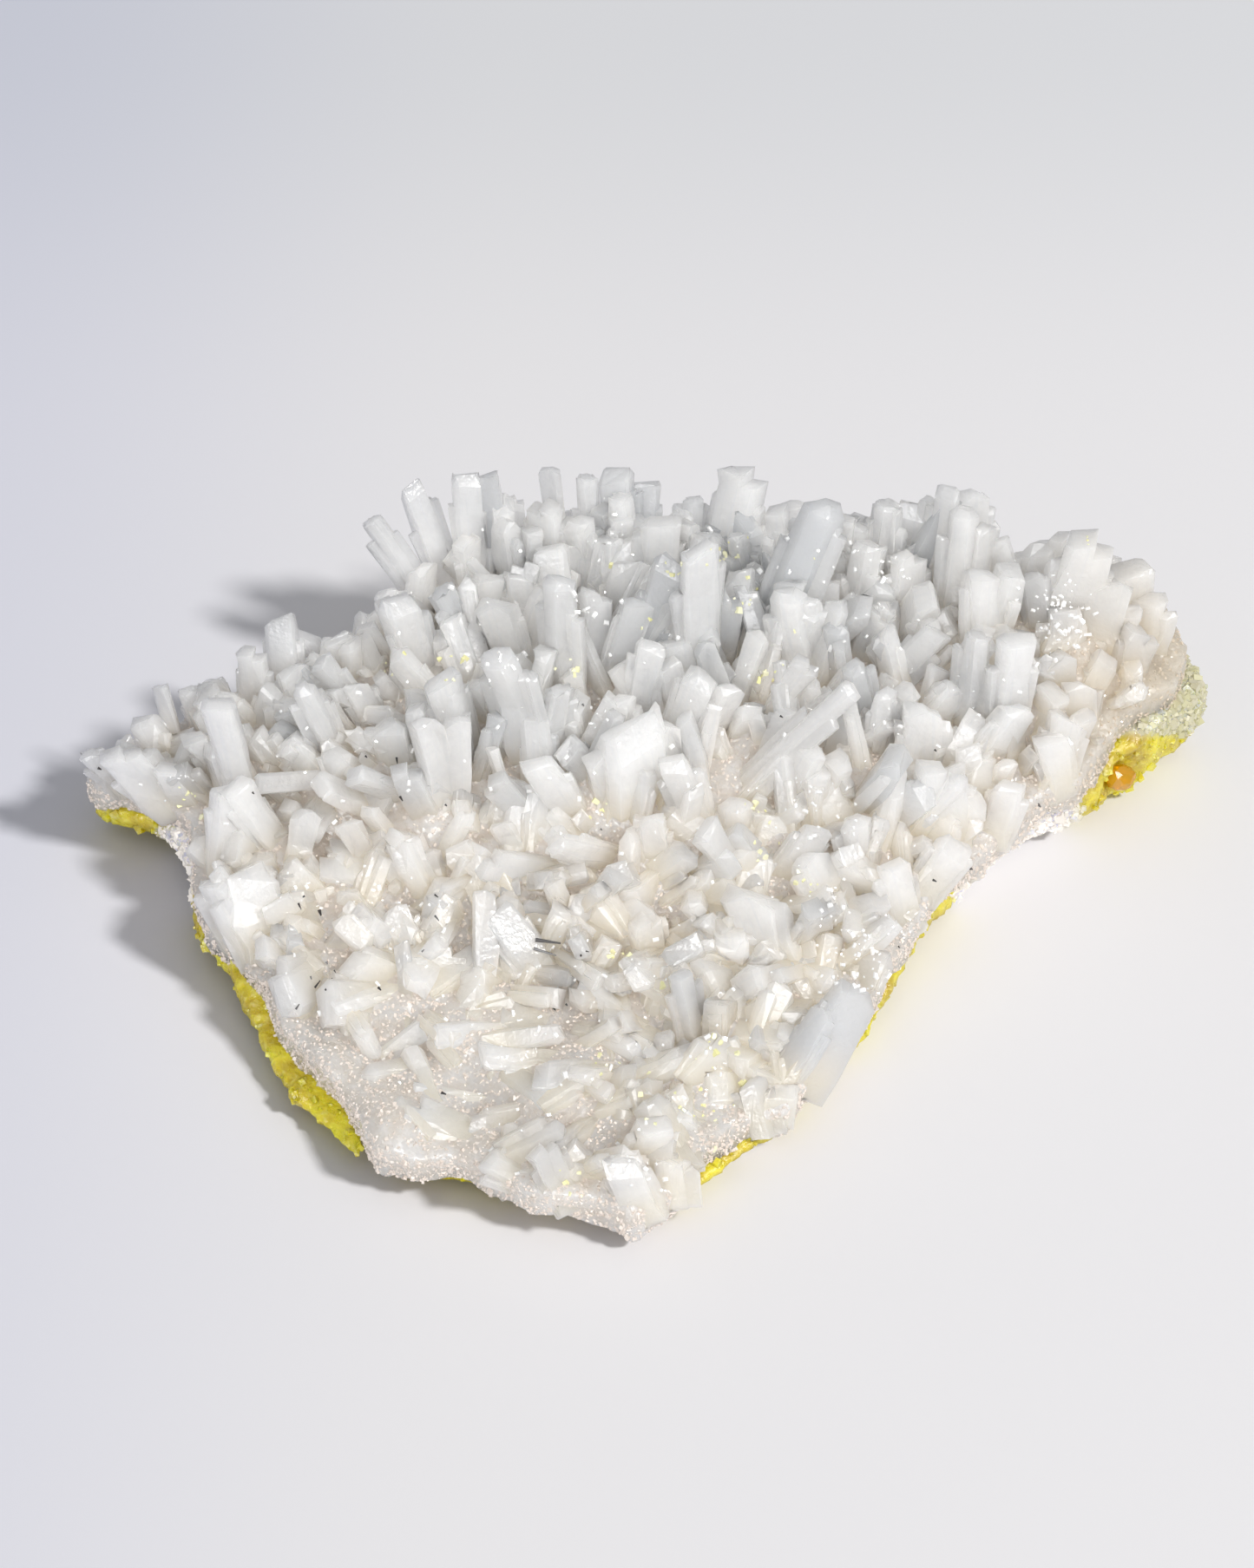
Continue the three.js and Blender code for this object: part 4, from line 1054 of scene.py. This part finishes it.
sulfur_shader = add_node(sulfur_look, "BsdfPrincipled", {
    "Base Color": sulfur_colour,
    "Roughness": waxy,
    "IOR": SULFUR_IOR,
    "Subsurface Weight": 0.6,
    "Subsurface Radius": (1, 0.8, 0.15),
    "Subsurface Scale": 2.5 * MM,
    "Normal": pits,
})
dress(sulfur, sulfur_look, Surface=sulfur_shader)
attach(sulfur, "root")
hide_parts("sulfur_layer")


# The flank of the sulfur is broken into grains with waxy faces. They are copies of one grain on
# the layer's sides and edges, clear of the amber crystal's pocket.
SULFUR_GRAINS = {
    "count": 2600, "seed": 3, "least": 0.5, "spread": 1.1, "flatness": 0.9, "sunk": 0.6, "lean": 0.6,
}
FLANK = {"least_upward": -0.4, "above": 1.5 * MM, "from_amber": AMBER_POCKET["radius"] * 0.7}
HARDLY_ANY = 1e-9  # keeps the shares of all places above zero


def flank_shares(faces, middles, outwards):
    off_amber = np.linalg.norm(middles - amber_middle, axis=1) > FLANK["from_amber"]
    on_flank = (outwards[:, 2] > FLANK["least_upward"]) * (middles[:, 2] > FLANK["above"])
    return on_flank * off_amber + HARDLY_ANY


places, outwards, random = pick_places(sulfur, flank_shares, SULFUR_GRAINS)
sulfur_grains = add_grains("sulfur_grains", GRAIN, places, outwards, random, SULFUR_GRAINS)
sulfur_grains.data.materials.append(sulfur_look)
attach(sulfur_grains, "root")


# Fine celestite coats the sulfur at the right end, faintly green from what is under it, and at two
# places on the flanks, where it is white.
COAT = {
    "count": 3600, "seed": 9, "least": 0.5, "spread": 0.9, "flatness": 0.9, "sunk": 0.75, "lean": 0.7,
}
COAT_LEAST_UPWARD = -0.5


def coat_shares(faces, middles, outwards):
    beyond = (middles[:, 1] + middles[:, 2]) / MM - PALE_END_MM["y_and_height"]
    at_end = (beyond > 0) * (middles[:, 0] / MM > PALE_END_MM["from_x"])
    coated = at_end.astype(float)
    for centre, radius in COATED_PLACES:
        coated = np.maximum(coated, np.linalg.norm(middles - np.array(centre), axis=1) < radius)
    return coated * (outwards[:, 2] > COAT_LEAST_UPWARD) + HARDLY_ANY


places, outwards, random = pick_places(sulfur, coat_shares, COAT)
coat_grains = add_grains("fine_celestite_coat", GRAIN, places, outwards, random, COAT)

# Its grains let the sulfur's colour through a little, and have glassy faces
coat_look = new_material("sugary_celestite_coat")
grain_tone = add_node(coat_look, "Attribute", output="Fac", attribute_name="tone")
greenish = add_node(
    coat_look, "Mix", {0: grain_tone, 6: linear("#cfcab4"), 7: linear("#c0bd94")}, **COLOURS
)
coat_colour = add_node(
    coat_look, "Mix", {0: at_right_end(coat_look), 6: linear(COAT_WHITE), 7: greenish}, **COLOURS
)
coat_shader = add_node(coat_look, "BsdfPrincipled", {
    "Base Color": coat_colour, "Roughness": 0.35, "IOR": CELESTITE_IOR,
})
dress(coat_grains, coat_look, Surface=coat_shader)
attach(coat_grains, "root")


# The amber crystal is a rounded, many-faced crystal of clear orange sulfur in the flank. It is
# see-through, and its colour comes from what it absorbs.
AMBER_FACETS = [  # direction, and distance from the middle as a share of the width
    ((0.3, -0.8, 0.5), 0.44), ((-0.6, -0.6, 0.3), 0.45), ((0.8, -0.3, -0.2), 0.43),
    ((0.1, -0.3, 0.95), 0.45),
]
bpy.ops.object.select_all(action="DESELECT")
bpy.ops.mesh.primitive_ico_sphere_add(subdivisions=2, radius=0.5)
amber = bpy.context.object
amber.name = "amber_sulfur_gem"
for direction, reach in AMBER_FACETS:
    facing = Vector(direction).normalized()
    cleave(amber, through=facing * reach, towards=facing)
bpy.ops.mesh.select_all(action="SELECT")
bpy.ops.transform.resize(value=amber_high - amber_low, center_override=(0, 0, 0))
bpy.ops.transform.translate(value=(amber_high + amber_low) / 2)
bpy.ops.object.mode_set(mode="OBJECT")
amber.data.shade_flat()
amber_look = new_material("clear_amber_sulfur")
amber_shader = add_node(amber_look, "BsdfPrincipled", {
    "Base Color": linear("#eeb800"), "Roughness": 0.12, "IOR": SULFUR_IOR, "Transmission Weight": 0.5,
})
amber_depth = add_node(amber_look, "VolumeAbsorption", {"Color": linear("#fde60a"), "Density": 600})
dress(amber, amber_look, Surface=amber_shader, Volume=amber_depth)
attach(amber, "root")
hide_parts("amber_sulfur_crystal")


# Dark needles and specks of another mineral lie on the crust. Each is a thin sliver set where the
# line of sight through its pixels meets the crystals.
NEEDLES = [  # pixels of one end and the other, and width in mm
    (617, 1083, 646, 1087, 0.55), (615, 1093, 641, 1101, 0.42), (669, 1101, 684, 1103, 0.32),
    (675, 1096, 679, 1097, 0.2), (368, 1049, 370, 1055, 0.5), (350, 1033, 354, 1035, 0.4),
    (344, 1041, 347, 1048, 0.3), (363, 1138, 369, 1130, 0.3), (375, 1141, 383, 1127, 0.25),
    (376, 1108, 378, 1111, 0.35), (436, 1138, 439, 1141, 0.4), (501, 1055, 506, 1061, 0.3),
    (501, 1031, 505, 1034, 0.25), (486, 1097, 489, 1094, 0.25), (508, 1259, 514, 1261, 0.45),
    (358, 1125, 359, 1129, 0.25), (385, 1118, 387, 1121, 0.2), (341, 1163, 345, 1157, 0.3),
    (291, 913, 293, 915, 0.3), (421, 871, 423, 873, 0.3), (457, 873, 458, 880, 0.3),
    (461, 918, 464, 923, 0.35), (513, 927, 515, 929, 0.3), (671, 811, 673, 814, 0.35),
    (692, 955, 694, 957, 0.3), (1196, 927, 1199, 930, 0.4), (1118, 1001, 1124, 1003, 0.4),
    (1075, 1014, 1079, 1016, 0.35), (1035, 1091, 1038, 1093, 0.3), (899, 825, 902, 827, 0.3),
    (1077, 864, 1079, 866, 0.3), (113, 885, 117, 887, 0.4), (652, 1157, 654, 1159, 0.3),
]
NEEDLE_PROUD = 0.12 * MM
MOST_LENGTHENED = 1.6  # by the depth between the places where its ends are seen

surface = BVHTree.FromObject(druse, bpy.context.evaluated_depsgraph_get())


def sight_on_crystals(px, py):
    return surface.ray_cast(EYE, line_of_sight(px, py).normalized())[0]


def needle_form():
    block = new_block(flatness=0.6)
    bevel_long_edges(block, width=0.18)
    pick_top(block)
    bpy.ops.transform.resize(value=(0.4, 0.5, 1))
    return block


NEEDLE = read_form(needle_form())
needle_corners = []
needle_faces = []
for from_px, from_py, to_px, to_py, width_mm in NEEDLES:
    start, end = sight_on_crystals(from_px, from_py), sight_on_crystals(to_px, to_py)
    if start is None or end is None:
        continue
    along = end - start
    seen = (point_at_height(to_px, to_py, start.z) - point_at_height(from_px, from_py, start.z)).length
    if along.length > MOST_LENGTHENED * seen:
        along = along.normalized() * seen
    side = along.cross(VIEW_BACK).normalized()
    turn = np.array([side, side.cross(along).normalized(), along.normalized()])
    local = NEEDLE["corners"] * (width_mm * MM, width_mm * MM, along.length) + (0, 0, along.length)
    steps = len(needle_corners) * len(local)
    needle_corners.append(np.array(start + VIEW_BACK * NEEDLE_PROUD) + local @ turn)
    needle_faces += [[corner + steps for corner in face] for face in NEEDLE["faces"]]
needle_mesh = bpy.data.meshes.new("needles")
needle_mesh.from_pydata(np.concatenate(needle_corners), [], needle_faces)
needles = add_piece("dark_mineral_needles", needle_mesh)

# The mineral is nearly black with a brownish cast, and its faces shine a little
STREAK_SIZE = 0.3 * MM
dark = new_material("dark_metallic_mineral")
place = add_node(dark, "TexCoord", output="Object")
streaks = add_node(dark, "TexNoise", {"Vector": place, "Scale": 1 / STREAK_SIZE})
dark_colour = add_node(dark, "Mix", {0: streaks, 6: linear("#17141a"), 7: linear("#2c2622")}, **COLOURS)
dark_shader = add_node(dark, "BsdfPrincipled", {"Base Color": dark_colour, "Roughness": 0.35, "IOR": 1.8})
dress(needles, dark, Surface=dark_shader)
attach(needles, "root")


# Broken cleavage faces flash like glitter in patches on the crystals. They are small flat flakes
# of the same celestite, most of them turned to one side, as cleavage in one mass is.
FLAKE_PATCHES = [  # pixel x and y, spread in pixels, count
    (990, 1100, 26, 60), (1220, 715, 24, 40), (715, 625, 14, 8), (690, 830, 16, 10), (680, 700, 18, 14),
    (590, 765, 14, 10), (1215, 690, 14, 16), (1028, 655, 12, 8), (925, 920, 22, 14), (950, 1040, 16, 14),
    (480, 1048, 18, 10), (975, 622, 14, 8), (745, 1350, 18, 12), (208, 892, 10, 6), (1238, 742, 14, 10),
    (820, 1200, 30, 10), (640, 1180, 40, 12), (560, 1240, 60, 14), (880, 700, 60, 12), (1060, 800, 60, 12),
    (700, 800, 170, 60), (1000, 860, 140, 50), (620, 1130, 150, 60), (350, 940, 110, 30),
]
FLAKE = {"seed": 21, "least": 0.35, "spread": 0.8, "flatness": 0.6, "sunk": 0.4, "lean": 0.06}
FLAKE_THICKNESS = 0.3  # over a grain's
FLAKE_FACING = (0.34, -0.54, 0.77)


def patch_places(patches, seed):
    """Where the lines of sight through random pixels of some patches meet the crystals."""
    random = np.random.default_rng(seed)
    found = []
    for px, py, spread, count in patches:
        for across, down in random.normal(size=(count, 2)) * spread:
            hit = sight_on_crystals(px + across, py + down)
            if hit is not None:
                found.append(hit)
    return np.array(found), random


places, random = patch_places(FLAKE_PATCHES, FLAKE["seed"])
flake_form = dict(GRAIN, corners=GRAIN["corners"] * (1, 1, FLAKE_THICKNESS))
facing = np.tile(FLAKE_FACING, (len(places), 1))
flakes = add_grains("celestite_cleavage_flakes", flake_form, places, facing, random, FLAKE)

# A fresh cleavage face is as bright as glass, and colourless
flake_look = new_material("glassy_celestite_cleavage")
flake_tone = add_node(flake_look, "Attribute", output="Fac", attribute_name="tone")
flake_gloss = add_node(flake_look, "MapRange", {0: flake_tone, 3: 0.03, 4: 0.12})
flake_shader = add_node(flake_look, "BsdfPrincipled", {
    "Base Color": linear("#fcfcfc"), "Roughness": flake_gloss, "IOR": CELESTITE_IOR,
})
dress(flakes, flake_look, Surface=flake_shader)
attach(flakes, "root")


# Crumbs of the sulfur lie in some gaps between the crystals, pale under a dusting of celestite.
# They are copies of the grain, standing on the crystals every way.
CRUMB_PATCHES = [  # pixel x and y, spread in pixels, count
    (830, 640, 10, 7), (780, 657, 10, 5), (857, 690, 8, 6), (885, 775, 10, 8), (450, 760, 10, 4),
    (520, 770, 12, 6), (660, 770, 10, 5), (875, 925, 12, 8), (925, 1020, 10, 6), (710, 1105, 10, 5),
    (693, 940, 8, 5), (875, 980, 8, 5), (693, 1230, 10, 5), (825, 1205, 8, 5), (810, 1283, 12, 7),
    (645, 1360, 12, 6), (215, 925, 12, 8), (1260, 617, 6, 6), (800, 1275, 50, 16), (830, 700, 60, 10),
]
CRUMB = {"seed": 33, "least": 0.3, "spread": 0.7, "flatness": 0.9, "sunk": 0.6, "lean": 1}
places, random = patch_places(CRUMB_PATCHES, CRUMB["seed"])
upwards = np.tile((0, 0, 1), (len(places), 1))
crumbs = add_grains("sulfur_crumbs", GRAIN, places, upwards, random, CRUMB)

# The dusting turns the yellow to cream, and the faces stay waxy
crumb_look = new_material("dusted_sulfur")
crumb_tone = add_node(crumb_look, "Attribute", output="Fac", attribute_name="tone")
crumb_colour = add_node(
    crumb_look, "Mix", {0: crumb_tone, 6: linear("#f6f5d6"), 7: linear("#efeca8")}, **COLOURS
)
crumb_shader = add_node(crumb_look, "BsdfPrincipled", {
    "Base Color": crumb_colour, "Roughness": 0.3, "IOR": SULFUR_IOR,
})
dress(crumbs, crumb_look, Surface=crumb_shader)
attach(crumbs, "root")


# The floor is matt white paper, with painted shade that makes it a little darker and bluer towards the
# back and the left.
FLOOR_SIZE = 12
FLOOR_SHADE_FAR = (0.1, 0.22)
FLOOR_SHADE_LEFT = (-0.02, -0.12)
bpy.ops.object.select_all(action="DESELECT")
bpy.ops.mesh.primitive_plane_add(size=FLOOR_SIZE)
floor = bpy.context.object
floor.name = "floor"
paper = new_material("matt_white_paper")
leftward = add_node(paper, "SeparateXYZ", {0: add_node(paper, "TexCoord", output="Object")})
backward = leftward.node.outputs["Y"]
# Painted shade: the paper darkens towards the back, and with the multiply below it turns darker and bluer
# towards the left
far = add_node(paper, "MapRange", {0: backward, 1: FLOOR_SHADE_FAR[0], 2: FLOOR_SHADE_FAR[1]}, **SMOOTH)
left = add_node(paper, "MapRange", {0: leftward, 1: FLOOR_SHADE_LEFT[0], 2: FLOOR_SHADE_LEFT[1]}, **SMOOTH)
paper_and_painted_shade = add_node(paper, "Mix", {0: far, 6: linear("#fbfbff"), 7: linear("#eff1f6")}, **COLOURS)
paper_and_painted_shade = add_node(
    paper, "Mix", {0: left, 6: paper_and_painted_shade, 7: linear("#eff1fb")}, blend_type="MULTIPLY", **COLOURS
)
paper_shader = add_node(paper, "BsdfPrincipled", {"Base Color": paper_and_painted_shade, "Roughness": 0.7})
dress(floor, paper, Surface=paper_shader)


# Soft daylight comes from the right and a little from the front, with pale light all round. The
# specimen and the floor get their own shares of it, and a pale wall in front lights the pieces.
def add_soft_light(name, azimuth, elevation, distance, size, energy):
    """A round light that shines on the specimen from some way round and up, in degrees."""
    azimuth, elevation = math.radians(azimuth), math.radians(elevation)
    light_from = Vector((
        math.cos(azimuth) * math.cos(elevation), math.sin(azimuth) * math.cos(elevation),
        math.sin(elevation),
    ))
    bpy.ops.object.light_add(type="AREA", location=light_from * distance)
    light = bpy.context.object
    light.name = name
    light.rotation_euler = light_from.to_track_quat("Z", "Y").to_euler()
    light.data.shape = "DISK"
    light.data.size = size
    light.data.energy = energy
    return light


def shine_only_on(light, name, pieces):
    lit = bpy.data.collections.new(name)
    for piece in pieces:
        lit.objects.link(piece)
    light.light_linking.receiver_collection = lit


WARM_WHITE = (1, 0.98, 0.95)
key = add_soft_light("window_light", azimuth=-26, elevation=47, distance=3, size=0.4, energy=44)
key.data.color = WARM_WHITE
floor_light = add_soft_light(
    "window_light_on_floor", azimuth=-26, elevation=47, distance=3, size=0.4, energy=16
)
floor_light.data.color = WARM_WHITE
shine_only_on(floor_light, "on_floor", [floor])
fill = add_soft_light(
    "pale_wall_in_front", azimuth=-95, elevation=42, distance=1.6, size=1, energy=16.5
)
pieces = [druse, sugar_grains, sulfur, sulfur_grains, coat_grains, amber, needles, flakes, crumbs]
shine_only_on(fill, "lit_by_wall", pieces)

world = bpy.data.worlds.new("pale_room")
bpy.context.scene.world = world
world.use_nodes = True
world.node_tree.nodes.clear()
sky = add_node(world, "SeparateXYZ", {0: add_node(world, "TexCoord", output="Generated")})
upward = add_node(world, "MapRange", {0: sky.node.outputs["Z"], 1: -0.1, 2: 0.9}, **SMOOTH)
room = add_node(world, "Mix", {0: upward, 6: linear("#d3d5da"), 7: linear("#ffffff")}, **COLOURS)
room_light = add_node(world, "Background", {"Color": room, "Strength": 0.36})
add_node(world, "OutputWorld", {"Surface": room_light})
bpy.context.scene.view_settings.view_transform = "Standard"
bpy.context.scene.cycles.diffuse_bounces = 5  # white crystals light each other many times over
bpy.context.scene.cycles.max_bounces = 8
